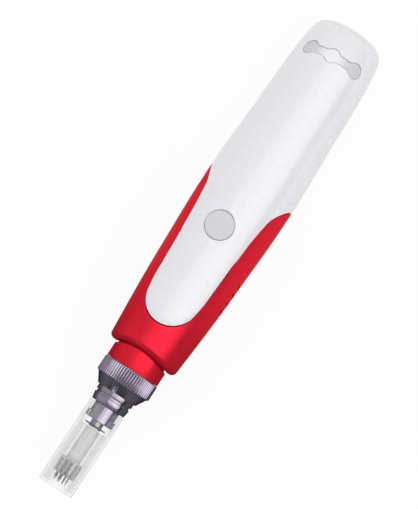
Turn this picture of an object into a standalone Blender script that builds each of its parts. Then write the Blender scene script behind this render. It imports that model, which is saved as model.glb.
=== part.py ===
"""Microneedling pen, lying on its back: nose towards -X, tail towards +X, button up.

Lengths are in metres. Nearly every piece is turned or lofted about the pen's long axis, which
runs along X at AXIS_HEIGHT above the surface that the pen lies on. Angles round the axis are
measured from the button, and stations are places along the axis.
"""
from math import cos, hypot, isclose, pi, radians, sin, sqrt, tau

import bmesh
import bpy
import numpy as np
from mathutils import Matrix, Vector

# Gaps that the fitted pieces share
FIT_GAP = 0.0003
SHUT_LINE = 0.0003
CUT_OVERRUN = 0.001
MERGE_DISTANCE = 0.000001
QUARTER = pi / 2

# Cartridge: a standard size, which everything at the nose is fitted to
CARTRIDGE_LENGTH = 0.0272
CARTRIDGE_RADIUS = 0.00556
CARTRIDGE_WALL = 0.0008
CARTRIDGE_EDGE = 0.0005
BARREL_WALL = 0.0006
BARREL_TO_SKIRT = 0.00056
SKIRT_BORE = CARTRIDGE_RADIUS - CARTRIDGE_WALL
BARREL_BORE_RADIUS = SKIRT_BORE - BARREL_TO_SKIRT - BARREL_WALL

# Nose tube: the collar that shows, and the stub and lugs inside the cartridge's skirt
COLLAR_SHOWN = 0.00456
COLLAR_PROUD = 0.00024
COLLAR_END_INSET = 0.00023
COLLAR_RADIUS = CARTRIDGE_RADIUS + COLLAR_PROUD
COLLAR_END_RADIUS = CARTRIDGE_RADIUS - COLLAR_END_INSET
COLLAR_GROOVE_WIDTH = 0.0008
COLLAR_GROOVE_DEPTH = 0.0003
COLLAR_GROOVE_SHARE = 0.4
ALIGNMENT_DOT_RADIUS = 0.00045
ALIGNMENT_DOT_HEIGHT = 0.0002
ALIGNMENT_DOT_SHARE = 0.68
NOSE_REAR_LENGTH = 0.0057
DEPTH_IN = 0.0014
STUB_LENGTH = 0.00485
STUB_WALL = 0.001
LUG_CLEARANCE = 0.00034
LUG_HEIGHT = 0.00052
LUG_LENGTH = 0.002
LUG_SPAN = radians(70)
LUG_RADIUS = SKIRT_BORE - LUG_CLEARANCE
STUB_RADIUS = LUG_RADIUS - LUG_HEIGHT
NOSE_BORE_RADIUS = STUB_RADIUS - STUB_WALL
TAB_FROM_COLLAR = 0.00075
TAB_SPAN = radians(60)
TAB_LENGTH = STUB_LENGTH - LUG_LENGTH - FIT_GAP - TAB_FROM_COLLAR
ORING_WIRE = 0.0004
ORING_FROM_RING = 0.003

# Depth ring, which turns on the neck's spigot, and the neck
SPIGOT_WALL = 0.0012
SPIGOT_RADIUS = COLLAR_RADIUS + FIT_GAP + SPIGOT_WALL
RING_WALL = 0.00106
RING_RADIUS = SPIGOT_RADIUS + FIT_GAP + RING_WALL
RING_HEIGHT = 0.0083
RING_TAPER_HEIGHT = 0.003
RING_LIP = 0.00017
RING_END_RADIUS = COLLAR_RADIUS + FIT_GAP + RING_LIP
RING_CHAMFER = 0.0004
KNURL_COUNT = 62
KNURL_DEPTH = 0.0003
SPIGOT_LENGTH = RING_HEIGHT - RING_TAPER_HEIGHT - FIT_GAP
RING_PROUD = 0.0002
NECK_RADIUS = RING_RADIUS - RING_PROUD
NECK_SHOWN = 0.00456
NECK_WALL = 0.00116
NECK_FLANGE = 0.00065
NECK_LEDGE = 0.002475

# Grip sleeve
SLEEVE_EDGE_ROUND = 0.0017
SLEEVE_ARCH_RISE = 0.00185
SLEEVE_FLOOR = 0.002
TONGUE_END_ANGLE = radians(43)
TONGUE_SIDE_ANGLE = radians(45)
TONGUE_TOP_ANGLE = radians(46.6)
TONGUE_TIP_FROM_EDGE = 0.0105
TONGUE_SIDE_LENGTH = 0.0176
TONGUE_FLARE_LENGTH = 0.008
HORN_HEIGHT = 0.0119
HORN_TO_FIRST_RING = 0.0017
GRIP_GROOVES = 4
GRIP_GROOVE_PITCH = 0.0029
GRIP_GROOVE_WIDTH = 0.0008
GRIP_GROOVE_DEPTH = 0.0005
GRIP_GROOVE_LENGTH = 0.0056
GRIP_GROOVE_SLANT = radians(24)
GRIP_GROOVE_FROM_EDGE = 0.0222

# Button and indicator
BUTTON_RADIUS = 0.0043
BUTTON_PROUD = 0.0001
BUTTON_THICKNESS = 0.0018
BUTTON_EDGE = 0.0003
BUTTON_STEM_RADIUS = 0.0015
BUTTON_TRAVEL = 0.0003
INDICATOR_FROM_TAIL = 0.0101
INDICATOR_LOBE_RADIUS = 0.00217
INDICATOR_BAR_HALF = 0.00118
INDICATOR_SPACING = 0.00784
INDICATOR_ARCH = 0.0005
INDICATOR_SKEW = 0.0005
INDICATOR_RECESS = 0.00015
INDICATOR_THICKNESS = 0.0013
INDICATOR_GAP = 0.0002

# Needle carrier and the seal above it
SEAL_THICKNESS = 0.0005
SEAL_INSET = 0.00045
SEAL_BAND = 0.00095
SEAL_RADIUS = STUB_RADIUS - SEAL_INSET
CARRIER_STEM_RADIUS = SEAL_RADIUS - SEAL_BAND - FIT_GAP
CARRIER_BLOCK_LENGTH = 0.0049
CARRIER_CLEARANCE = 0.00032
NEEDLE_POCKET_WALL = 0.00038
NEEDLE_PLATE_RADIUS = BARREL_BORE_RADIUS - CARRIER_CLEARANCE - NEEDLE_POCKET_WALL - FIT_GAP
NEEDLE_PLATE_THICKNESS = 0.0005
NEEDLE_LENGTH = 0.0025
NEEDLE_RECESS = 0.00175
NEEDLE_RADIUS = 0.00022
NEEDLE_TIP_RADIUS = 0.00004
NEEDLE_RIM = 0.0006
NEEDLES_IN_OUTER_RING = 9
NEEDLES_IN_INNER_RING = 3
NEEDLE_OUTER_CIRCLE = NEEDLE_PLATE_RADIUS - NEEDLE_RIM
NEEDLE_INNER_SHARE = 0.45

# Drive: rod, cam and motor
ROD_RADIUS = 0.0015
ROD_STROKE = 0.003
ROD_DISC_THICKNESS = 0.0012
ROD_DISC_RADIUS = NECK_RADIUS - NECK_WALL - 2 * FIT_GAP
ROD_TIP_RADIUS = CARRIER_STEM_RADIUS - FIT_GAP
ROD_TIP_LENGTH = 0.0022
YOKE_ARM_WIDTH = 0.003
YOKE_ARM_THICKNESS = 0.0009
PIN_RADIUS = 0.00075
CAM_FLANGE = 0.0012
CAM_HUB_RADIUS = 0.0022
SHAFT_RADIUS = 0.001
CAM_SCREW_RADIUS = 0.0006
MOTOR_RADIUS = 0.0078
MOTOR_LENGTH = 0.025
MOTOR_WALL = 0.0008
MOTOR_CAP = 0.0013
MOTOR_EDGE = 0.0005
ARMATURE_LENGTH = 0.015
AIR_GAP = 0.0005
MAGNET_THICKNESS = 0.0010
MAGNET_SPAN = radians(110)
CAM_HOUSING_WALL = 0.0012
TRACK_HALF = ROD_STROKE + PIN_RADIUS + FIT_GAP
CAM_LENGTH = 2 * TRACK_HALF + ROD_STROKE + 2 * CAM_FLANGE

# Guide block and return spring
GUIDE_LENGTH = 0.005
GUIDE_BORE_LENGTH = 0.0025
BUSH_WALL = 0.0008
BUSH_RUNNING_GAP = 0.0002
SPRING_POCKET_RADIUS = 0.0038
SPRING_WIRE_RADIUS = 0.00022
SPRING_MEAN_RADIUS = 0.0029
SPRING_TURNS = 4

# Chassis, battery and electronics
CHASSIS_WALL = 0.0015
CHASSIS_SPAN = radians(170)
CHASSIS_RIB_LENGTH = 0.002
BATTERY_RADIUS = 0.007
BATTERY_LENGTH = 0.0495
BATTERY_CAP_RADIUS = 0.0026
BATTERY_CAP_HEIGHT = 0.0008
CONTACT_INSET = 0.001
CONTACT_THICKNESS = 0.0005
CORE_RADIUS = max(MOTOR_RADIUS, BATTERY_RADIUS)
BATTERY_LIFT = BATTERY_RADIUS - CORE_RADIUS
BOARD_THICKNESS = 0.001
BOARD_LENGTH = 0.050
BOARD_WIDTH = 0.011
BOARD_FROM_MOTOR = 0.00395
SWITCH_FROM_BOARD_END = 0.0165
SWITCH_SIDE = 0.0045
SWITCH_HEIGHT = 0.0010
CHIP_LENGTH = 0.005
CHIP_WIDTH = 0.004
CHIP_HEIGHT = 0.0009
CONNECTOR_LENGTH = 0.004
CONNECTOR_WIDTH = 0.006
CONNECTOR_HEIGHT = 0.0012
LED_BOARD_LENGTH = 0.007
LED_BOARD_THICKNESS = 0.0008
LED_BOARD_WIDTH = 0.0106
LED_LENGTH = 0.002
LED_WIDTH = 0.0016
LED_HEIGHT = 0.0007
LED_SPACING = 0.0043
JACK_RADIUS = 0.0037
JACK_LENGTH = 0.0092
JACK_WALL = 0.00095
JACK_PIN_RADIUS = 0.001
JACK_FLOOR = 0.0012
JACK_RECESS = 0.0002
JACK_FROM_CONTACT = 0.0005
JACK_NUT_WALL = 0.0015
JACK_NUT_LENGTH = 0.0018
TAIL_WALL = 0.0024

# Housing: as long and as wide as what it holds, with one outline for both shells from the
# sleeve's lower edge to the tail
HOUSING_WALL = 0.0016
HEADROOM = 0.0041
ROD_DISC_FROM_EDGE = (
    SLEEVE_ARCH_RISE + SLEEVE_FLOOR + FIT_GAP + NECK_FLANGE + FIT_GAP + ROD_DISC_THICKNESS
)
MOTOR_FROM_EDGE = ROD_DISC_FROM_EDGE + ROD_DISC_THICKNESS + CAM_LENGTH + 5 * FIT_GAP
BATTERY_SPACE = BATTERY_LENGTH + 2 * (BATTERY_CAP_HEIGHT + CONTACT_THICKNESS) + 4 * FIT_GAP
JACK_SPACE = JACK_FROM_CONTACT + JACK_LENGTH + JACK_RECESS
HOUSING_LENGTH = MOTOR_FROM_EDGE + MOTOR_LENGTH + BATTERY_SPACE + JACK_SPACE
HOUSING_OUTLINE_SHARES = (
    (0.000, 0.810), (0.018, 0.819), (0.113, 0.876), (0.216, 0.927), (0.319, 0.961),
    (0.420, 0.9926), (0.500, 1.000), (0.564, 0.996), (0.605, 0.982), (0.687, 0.950),
    (0.770, 0.926), (0.852, 0.902), (0.893, 0.880), (0.934, 0.842), (0.955, 0.812),
    (0.976, 0.747), (0.989, 0.625), (0.9965, 0.460), (1.000, 0.300),
)
HOUSING_RADIUS = max(
    (NECK_RADIUS + NECK_LEDGE) / HOUSING_OUTLINE_SHARES[0][1],
    CORE_RADIUS + HEADROOM + HOUSING_WALL,
)
REST_FLAT_DEPTH = 0.0013
AXIS_HEIGHT = HOUSING_RADIUS - REST_FLAT_DEPTH

# Stations along the axis that several pieces share
TOTAL_LENGTH = HOUSING_LENGTH + NECK_SHOWN + RING_HEIGHT + COLLAR_SHOWN + CARTRIDGE_LENGTH
TAIL_X = TOTAL_LENGTH / 2
EDGE_X = TAIL_X - HOUSING_LENGTH
RING_TOP_X = EDGE_X - NECK_SHOWN
RING_END_X = RING_TOP_X - RING_HEIGHT
COLLAR_END_X = RING_END_X - COLLAR_SHOWN
TIP_X = COLLAR_END_X - CARTRIDGE_LENGTH
INDICATOR_X = TAIL_X - INDICATOR_FROM_TAIL
DISC_X = EDGE_X + ROD_DISC_FROM_EDGE
NECK_REAR_X = DISC_X - ROD_DISC_THICKNESS - FIT_GAP
CAM_X = DISC_X + ROD_DISC_THICKNESS + 2 * FIT_GAP
CAM_END_X = CAM_X + CAM_LENGTH
PIN_X = CAM_X + CAM_FLANGE + ROD_STROKE + TRACK_HALF
MOTOR_X = EDGE_X + MOTOR_FROM_EDGE
MOTOR_END_X = MOTOR_X + MOTOR_LENGTH
BOARD_X = MOTOR_X + BOARD_FROM_MOTOR
BUTTON_X = BOARD_X + SWITCH_FROM_BOARD_END
FRONT_CONTACT_X = MOTOR_END_X + BATTERY_CAP_HEIGHT + 2 * FIT_GAP
BATTERY_X = FRONT_CONTACT_X + CONTACT_THICKNESS + FIT_GAP
BATTERY_END_X = BATTERY_X + BATTERY_LENGTH
REAR_CONTACT_X = BATTERY_END_X + BATTERY_CAP_HEIGHT + FIT_GAP
SEAL_X = COLLAR_END_X - STUB_LENGTH - DEPTH_IN
CARRIER_X = SEAL_X - SEAL_THICKNESS - 2 * FIT_GAP
CARRIER_END_X = TIP_X + NEEDLE_RECESS + NEEDLE_LENGTH
SPRING_FLOOR_X = NECK_REAR_X - ROD_STROKE - FIT_GAP - GUIDE_LENGTH + GUIDE_BORE_LENGTH
YOKE_ARM_TOP = ROD_DISC_RADIUS - YOKE_ARM_THICKNESS / 4
YOKE_ARM_LOW = YOKE_ARM_TOP - YOKE_ARM_THICKNESS

# How finely round pieces are divided
ROUND_SIDES = 36
INNER_SIDES = 24
SMALL_SIDES = 16
TINY_SIDES = 10


def material(name, colour, roughness, metallic=0.0):
    """A Principled material with one colour, given in linear light."""
    finish = bpy.data.materials.new(name)
    finish.use_nodes = True
    shader = finish.node_tree.nodes["Principled BSDF"]
    shader.inputs["Base Color"].default_value = (*colour, 1.0)
    shader.inputs["Roughness"].default_value = roughness
    shader.inputs["Metallic"].default_value = metallic
    finish.diffuse_color = (*colour, 1.0)
    return finish


def ring_point(station, radius, angle):
    """A point at a station, a radius and an angle from the button, towards -Y."""
    return Vector((station, -radius * sin(angle), radius * cos(angle)))


def new_piece(name, shape, finish):
    """One named object on the pen's axis, with its faces pointing out."""
    bmesh.ops.remove_doubles(shape, verts=shape.verts, dist=MERGE_DISTANCE)
    bmesh.ops.recalc_face_normals(shape, faces=shape.faces)
    mesh = bpy.data.meshes.new(name)
    shape.to_mesh(mesh)
    shape.free()
    mesh.materials.append(finish)
    mesh.shade_smooth()
    mesh.set_sharp_from_angle(angle=radians(35))
    piece = bpy.data.objects.new(name, mesh)
    piece.parent = PEN_AXIS
    bpy.context.collection.objects.link(piece)
    return piece


def lofted(name, columns, finish, around=True):
    """Closed body through columns of points, each a closed loop; the ends are capped unless around."""
    shape = bmesh.new()
    rows = [[shape.verts.new(point) for point in column] for column in columns]
    last = len(rows) if around else len(rows) - 1
    for i in range(last):
        here, there = rows[i], rows[(i + 1) % len(rows)]
        for j in range(len(here)):
            k = (j + 1) % len(here)
            corners = (here[j], here[k], there[k], there[j])
            on_axis = all(hypot(v.co.y, v.co.z) < MERGE_DISTANCE for v in corners)
            if not on_axis:
                shape.faces.new(corners)
    if not around:
        shape.faces.new(rows[0])
        shape.faces.new(rows[-1])
    return new_piece(name, shape, finish)


def turned(name, outline, finish, sides=ROUND_SIDES, start=0.0, sweep=tau, lift=0.0):
    """Turns a closed outline of (station, radius) points about the axis, or about a line lifted from it."""
    around = isclose(sweep, tau)
    steps = sides if around else sides + 1
    angles = [start + sweep * step / sides for step in range(steps)]
    columns = [[ring_point(x, r, angle) for x, r in outline] for angle in angles]
    piece = lofted(name, columns, finish, around)
    piece.data.transform(Matrix.Translation((0.0, 0.0, lift)))
    return piece


def tube(low, high, inner, outer):
    """Outline of a plain tube between two stations."""
    return [(low, inner), (low, outer), (high, outer), (high, inner)]


def slab(name, centre, size, finish):
    """A rectangular piece with its edges square to the axes."""
    shape = bmesh.new()
    place = Matrix.LocRotScale(Vector(centre), None, Vector(size))
    bmesh.ops.create_cube(shape, size=1.0, matrix=place)
    return new_piece(name, shape, finish)


def upright_rod(name, station, low, high, radius, finish, sides=SMALL_SIDES, across=0.0):
    """A round piece that stands square to the pen's axis."""
    shape = bmesh.new()
    place = Matrix.Translation((station, across, (low + high) / 2))
    bmesh.ops.create_cone(
        shape, cap_ends=True, segments=sides, radius1=radius, radius2=radius,
        depth=high - low, matrix=place,
    )
    return new_piece(name, shape, finish)


def combine(piece, other, operation):
    """Cuts a piece with another shape, or unites the two; the other one is only a tool."""
    other.hide_render = True
    other.display_type = "WIRE"
    change = piece.modifiers.new(other.name, "BOOLEAN")
    change.operation = operation
    change.object = other
    change.solver = "EXACT"


def housing_radius(station):
    """Outer radius of the two shells at a station."""
    share = (station - EDGE_X) / HOUSING_LENGTH
    stations, radii = zip(*HOUSING_OUTLINE_SHARES)
    return HOUSING_RADIUS * float(np.interp(share, stations, radii))


def skin_point(station, angle, depth=0.0):
    """A point on the housing's skin, or a depth under it, with the flat on its back cut level."""
    point = ring_point(station, housing_radius(station) - depth, angle)
    point.z = max(point.z, depth - AXIS_HEIGHT)
    return point


def tongue_edge():
    """A quarter of the line where white meets red, as (angle, station), from the tongue to the horn."""
    half_width = TONGUE_END_ANGLE * housing_radius(EDGE_X + TONGUE_TIP_FROM_EDGE + HORN_HEIGHT)
    round_x = EDGE_X + TONGUE_TIP_FROM_EDGE + half_width
    side_x = round_x + TONGUE_SIDE_LENGTH
    flare_x = side_x + TONGUE_FLARE_LENGTH
    round_end = [
        (TONGUE_END_ANGLE * sin(turn), round_x - half_width * cos(turn))
        for turn in np.linspace(0.0, QUARTER, 6)
    ]
    horn = [
        (QUARTER - (QUARTER - TONGUE_TOP_ANGLE) * cos(turn), flare_x + HORN_HEIGHT * sin(turn))
        for turn in np.linspace(0.0, QUARTER, 7)
    ]
    return [*round_end, (TONGUE_SIDE_ANGLE, side_x), *horn]


def whole_edge(offset):
    """The white and red line all round, moved square to itself by an offset, positive towards the tail."""
    quarter = tongue_edge()
    mirrored = [(pi - angle, x) for angle, x in reversed(quarter[1:-1])]
    half = [*quarter, *mirrored]
    line = [*half, *[(pi + angle, x) for angle, x in half]]
    moved = []
    for i, (angle, x) in enumerate(line):
        before, after = line[i - 1], line[(i + 1) % len(line)]
        turn = (after[0] - before[0] + pi) % tau - pi
        radius = housing_radius(x)
        along, run = after[1] - before[1], turn * radius
        length = hypot(along, run)
        moved.append((angle - offset * along / length / radius, x + offset * run / length))
    return moved


def even_angles(count):
    """Angles spaced evenly round the axis, the first one at the button."""
    return [tau * step / count for step in range(count)]


def between(start, end, share):
    """The pair of values that lies a share of the way from one pair to another."""
    return tuple(a + (b - a) * share for a, b in zip(start, end))


def make_grip_sleeve(finish):
    """Red sleeve: rolled lower edge, thick floor, and a wall that ends at the white shell's tongues."""
    edge = whole_edge(-SHUT_LINE / 2)
    floor_x = EDGE_X + SLEEVE_ARCH_RISE + SLEEVE_FLOOR
    bore = NECK_RADIUS + FIT_GAP
    wall_shares = (0.2, 0.45, 0.7, 0.88)
    columns = []
    for angle, end in zip(even_angles(len(edge)), edge):
        low_x = EDGE_X + SLEEVE_ARCH_RISE * cos(angle) ** 2
        round_x = low_x + SLEEVE_EDGE_ROUND
        corner = housing_radius(round_x) - SLEEVE_EDGE_ROUND
        column = [ring_point(low_x, bore, angle), ring_point(low_x, corner, angle)]
        for turn in (QUARTER / 3, 2 * QUARTER / 3):
            radius = corner + SLEEVE_EDGE_ROUND * sin(turn)
            column.append(ring_point(round_x - SLEEVE_EDGE_ROUND * cos(turn), radius, angle))
        column.append(skin_point(round_x, angle))
        for share in (*wall_shares, 1.0):
            place, x = between((angle, round_x), (angle + turn_between(angle, end[0]), end[1]), share)
            column.append(skin_point(x, place))
        for share in (1.0, 0.5):
            place, x = between((angle, floor_x), (angle + turn_between(angle, end[0]), end[1]), share)
            column.append(skin_point(x, place, HOUSING_WALL))
        column.append(skin_point(floor_x, angle, HOUSING_WALL))
        column.append(ring_point(floor_x, bore, angle))
        columns.append(column)
    sleeve = lofted("grip_sleeve", columns, finish)
    combine(sleeve, grip_groove_cutter(finish), "DIFFERENCE")
    return sleeve


def turn_between(start, end):
    """The short way round from one angle to another."""
    return (end - start + pi) % tau - pi


def grip_groove_cutter(finish):
    """Slanted bars that cut the finger grooves into both sides of the sleeve."""
    shape = bmesh.new()
    for side in (-1, 1):
        for number in range(GRIP_GROOVES):
            x = EDGE_X + GRIP_GROOVE_FROM_EDGE + number * GRIP_GROOVE_PITCH
            depth = 2 * GRIP_GROOVE_DEPTH
            turn = Matrix.Rotation(side * GRIP_GROOVE_SLANT, 3, "Y")
            size = Vector((GRIP_GROOVE_WIDTH, depth, GRIP_GROOVE_LENGTH))
            place = Matrix.LocRotScale(Vector((x, side * housing_radius(x), 0.0)), turn, size)
            bmesh.ops.create_cube(shape, size=1.0, matrix=place)
    return new_piece("grip_groove_cutter", shape, finish)


def make_tail_shell(finish):
    """White shell: from the tongues' edge over the widest part to the rounded tail with its jack hole."""
    edge = whole_edge(SHUT_LINE / 2)
    first_ring = max(x for angle, x in edge) + HORN_TO_FIRST_RING
    tail_stations = [
        EDGE_X + share * HOUSING_LENGTH
        for share, radius in HOUSING_OUTLINE_SHARES
        if EDGE_X + share * HOUSING_LENGTH > first_ring + HORN_TO_FIRST_RING
    ]
    hole = JACK_RADIUS + FIT_GAP
    inner_end = TAIL_X - TAIL_WALL
    inner_stations = [x for x in tail_stations if x < inner_end - TAIL_WALL / 2][::2]
    shares = (0.0, 0.25, 0.5, 0.75, 1.0)
    columns = []
    for angle, start in zip(even_angles(len(edge)), edge):
        start = (angle + turn_between(angle, start[0]), start[1])
        column = []
        for share in shares:
            place, x = between(start, (angle, first_ring), share)
            column.append(skin_point(x, place))
        column += [skin_point(x, angle) for x in tail_stations[:-1]]
        column += [ring_point(TAIL_X, hole, angle), ring_point(inner_end, hole, angle)]
        corner_radius = housing_radius(inner_end) - TAIL_WALL
        column.append(ring_point(inner_end, corner_radius, angle))
        column += [skin_point(x, angle, HOUSING_WALL) for x in reversed(inner_stations)]
        for share in reversed(shares):
            place, x = between(start, (angle, first_ring), share)
            column.append(skin_point(x, place, HOUSING_WALL))
        columns.append(column)
    shell = lofted("tail_shell", columns, finish)
    button_hole = upright_rod(
        "button_hole_cutter", BUTTON_X, HOUSING_RADIUS / 2, HOUSING_RADIUS + CUT_OVERRUN,
        BUTTON_RADIUS + FIT_GAP, finish, ROUND_SIDES,
    )
    combine(shell, button_hole, "DIFFERENCE")
    window = indicator_strip("indicator_cutter", INDICATOR_GAP, -CUT_OVERRUN, 3 * HOUSING_WALL, finish)
    combine(shell, window, "DIFFERENCE")
    return shell


def indicator_middle(place):
    """Station of the strip's middle line, whose ends arch towards the nose, one more than the other."""
    share = place / INDICATOR_SPACING
    return INDICATOR_X + INDICATOR_SKEW * share - INDICATOR_ARCH * share ** 2


def indicator_half_width(place, grow):
    """Half the strip's width at a place measured round the skin from its middle lobe."""
    lobe = INDICATOR_LOBE_RADIUS + grow
    widths = []
    for centre in (-INDICATOR_SPACING, 0.0, INDICATOR_SPACING):
        if abs(place - centre) < lobe:
            widths.append(sqrt(lobe ** 2 - (place - centre) ** 2))
    if abs(place) < INDICATOR_SPACING:
        widths.append(INDICATOR_BAR_HALF + grow)
    return max(widths)


def indicator_strip(name, grow, top_depth, bottom_depth, finish):
    """Three round windows and the bars between them, wrapped round the housing between two depths."""
    lobe = INDICATOR_LOBE_RADIUS + grow
    turns = np.linspace(0.0, pi, 9)[1:-1]
    places = {round(-lobe * cos(turn) + centre, 9)
              for centre in (-INDICATOR_SPACING, 0.0, INDICATOR_SPACING) for turn in turns}
    middle = INDICATOR_SPACING / 2
    places |= {-middle, middle}
    radius = housing_radius(INDICATOR_X)
    columns = []
    for place in sorted(places):
        angle = place / radius
        half = indicator_half_width(place, grow)
        low, high = indicator_middle(place) - half, indicator_middle(place) + half
        columns.append([
            skin_point(low, angle, top_depth), skin_point(high, angle, top_depth),
            skin_point(high, angle, bottom_depth), skin_point(low, angle, bottom_depth),
        ])
    return lofted(name, columns, finish, around=False)


def make_neck(finish):
    """Red neck with a spigot that carries the depth ring, and a bore for the guide block and nose tube."""
    guide_bore = ROD_DISC_RADIUS + 2 * FIT_GAP
    nose_bore = COLLAR_RADIUS + FIT_GAP
    guide_x = NECK_REAR_X - ROD_STROKE - GUIDE_LENGTH - 2 * FIT_GAP
    flange_x = EDGE_X + SLEEVE_ARCH_RISE + SLEEVE_FLOOR + FIT_GAP
    flange = housing_radius(flange_x) - HOUSING_WALL - 2 * FIT_GAP
    outline = [
        (NECK_REAR_X, guide_bore), (guide_x, guide_bore), (guide_x, nose_bore),
        (RING_TOP_X - SPIGOT_LENGTH, nose_bore), (RING_TOP_X - SPIGOT_LENGTH, SPIGOT_RADIUS),
        (RING_TOP_X, SPIGOT_RADIUS), (RING_TOP_X, NECK_RADIUS), (flange_x, NECK_RADIUS),
        (flange_x, flange), (NECK_REAR_X, flange),
    ]
    return turned("neck_barrel", outline, finish)


def make_depth_ring(finish):
    """Knurled ring: ribs between two chamfers, then a taper down to the collar."""
    top = RING_TOP_X - FIT_GAP
    knurl_end = RING_END_X + RING_TAPER_HEIGHT
    counterbore_x = RING_TOP_X - SPIGOT_LENGTH - FIT_GAP
    columns = []
    for step, angle in enumerate(even_angles(2 * KNURL_COUNT)):
        rib = RING_RADIUS - KNURL_DEPTH * (step % 2)
        root = RING_RADIUS - KNURL_DEPTH - RING_CHAMFER / 2
        column = [
            (top, SPIGOT_RADIUS + FIT_GAP), (top, root), (top - RING_CHAMFER, rib),
            (knurl_end + RING_CHAMFER, rib), (knurl_end, root), (RING_END_X, RING_END_RADIUS),
            (RING_END_X, COLLAR_RADIUS + FIT_GAP), (counterbore_x, COLLAR_RADIUS + FIT_GAP),
            (counterbore_x, SPIGOT_RADIUS + FIT_GAP),
        ]
        columns.append([ring_point(x, r, angle) for x, r in column])
    return lofted("depth_ring", columns, finish)


def make_nose_tube(finish):
    """Collar that slides in the neck, with the stub and bayonet lugs that hold the cartridge."""
    rear_x = RING_END_X + NOSE_REAR_LENGTH
    stub_x = COLLAR_END_X - STUB_LENGTH
    groove_x = RING_END_X - COLLAR_GROOVE_SHARE * COLLAR_SHOWN
    oring_x = RING_END_X + ORING_FROM_RING
    oring_half = ORING_WIRE + FIT_GAP
    oring_floor = COLLAR_RADIUS - 2 * ORING_WIRE - FIT_GAP
    outline = [
        (rear_x, NOSE_BORE_RADIUS), (rear_x, COLLAR_RADIUS),
        (oring_x + oring_half, COLLAR_RADIUS), (oring_x + oring_half, oring_floor),
        (oring_x - oring_half, oring_floor), (oring_x - oring_half, COLLAR_RADIUS),
        (groove_x + COLLAR_GROOVE_WIDTH / 2, COLLAR_RADIUS),
        (groove_x + COLLAR_GROOVE_WIDTH / 2, COLLAR_RADIUS - COLLAR_GROOVE_DEPTH),
        (groove_x - COLLAR_GROOVE_WIDTH / 2, COLLAR_RADIUS - COLLAR_GROOVE_DEPTH),
        (groove_x - COLLAR_GROOVE_WIDTH / 2, COLLAR_RADIUS - COLLAR_GROOVE_DEPTH / 2),
        (COLLAR_END_X, COLLAR_END_RADIUS), (COLLAR_END_X, STUB_RADIUS),
        (stub_x, STUB_RADIUS), (stub_x, NOSE_BORE_RADIUS),
    ]
    nose = turned("nose_tube", outline, finish)
    for number, side in enumerate((QUARTER, 3 * QUARTER)):
        block = tube(stub_x, stub_x + LUG_LENGTH, STUB_RADIUS - FIT_GAP, LUG_RADIUS)
        lug = turned(f"lug_{number}", block, finish, SMALL_SIDES // 2, side - LUG_SPAN / 2, LUG_SPAN)
        combine(nose, lug, "UNION")
    dot_x = RING_END_X - ALIGNMENT_DOT_SHARE * COLLAR_SHOWN
    dot = upright_rod(
        "alignment_dot", dot_x, COLLAR_END_RADIUS / 2, COLLAR_END_RADIUS + ALIGNMENT_DOT_HEIGHT,
        ALIGNMENT_DOT_RADIUS, finish, TINY_SIDES,
    )
    combine(nose, dot, "UNION")
    return nose


def make_nose_oring(finish):
    """Rubber ring in the nose tube's hidden groove."""
    centre_x = RING_END_X + ORING_FROM_RING
    centre_r = COLLAR_RADIUS - ORING_WIRE
    outline = [
        (centre_x + ORING_WIRE * cos(turn), centre_r + ORING_WIRE * sin(turn))
        for turn in even_angles(6)
    ]
    return turned("nose_oring", outline, finish, INNER_SIDES)


def make_cartridge(finish):
    """Clear cartridge: outer skirt with two bayonet tabs, and an inner barrel joined at the tip."""
    top_x = COLLAR_END_X - FIT_GAP
    barrel_radius = BARREL_BORE_RADIUS + BARREL_WALL
    floor_x = TIP_X + CARTRIDGE_WALL
    outline = [
        (top_x, SKIRT_BORE), (top_x, CARTRIDGE_RADIUS), (TIP_X + CARTRIDGE_EDGE, CARTRIDGE_RADIUS),
        (TIP_X + CARTRIDGE_EDGE / 3, CARTRIDGE_RADIUS - CARTRIDGE_EDGE / 3),
        (TIP_X, CARTRIDGE_RADIUS - CARTRIDGE_EDGE), (TIP_X, BARREL_BORE_RADIUS),
        (CARRIER_X, BARREL_BORE_RADIUS), (CARRIER_X, barrel_radius),
        (floor_x, barrel_radius), (floor_x, SKIRT_BORE),
    ]
    cartridge = turned("cartridge_body", outline, finish)
    tab_x = COLLAR_END_X - TAB_FROM_COLLAR - TAB_LENGTH
    for number, side in enumerate((0.0, pi)):
        block = tube(tab_x, tab_x + TAB_LENGTH, STUB_RADIUS + FIT_GAP, SKIRT_BORE + FIT_GAP)
        tab = turned(f"tab_{number}", block, finish, SMALL_SIDES // 2, side - TAB_SPAN / 2, TAB_SPAN)
        combine(cartridge, tab, "UNION")
    return cartridge


def make_seal(finish):
    """Flat rubber ring between the stub's end and the barrel."""
    outline = tube(SEAL_X - SEAL_THICKNESS, SEAL_X, CARRIER_STEM_RADIUS + FIT_GAP, SEAL_RADIUS)
    turned("cartridge_seal", outline, finish, SMALL_SIDES)


def make_carrier(finish):
    """Plunger: a stem that the drive rod pushes, and the block that holds the needle plate."""
    block_x = CARRIER_END_X + CARRIER_BLOCK_LENGTH
    block_radius = BARREL_BORE_RADIUS - CARRIER_CLEARANCE
    recess = NEEDLE_PLATE_RADIUS + FIT_GAP
    recess_x = CARRIER_END_X + NEEDLE_PLATE_THICKNESS + FIT_GAP
    outline = [
        (CARRIER_X, 0.0), (CARRIER_X, CARRIER_STEM_RADIUS), (block_x, CARRIER_STEM_RADIUS),
        (block_x, block_radius), (CARRIER_END_X, block_radius), (CARRIER_END_X, recess),
        (recess_x, recess), (recess_x, 0.0),
    ]
    turned("needle_carrier", outline, finish, INNER_SIDES)


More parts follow.
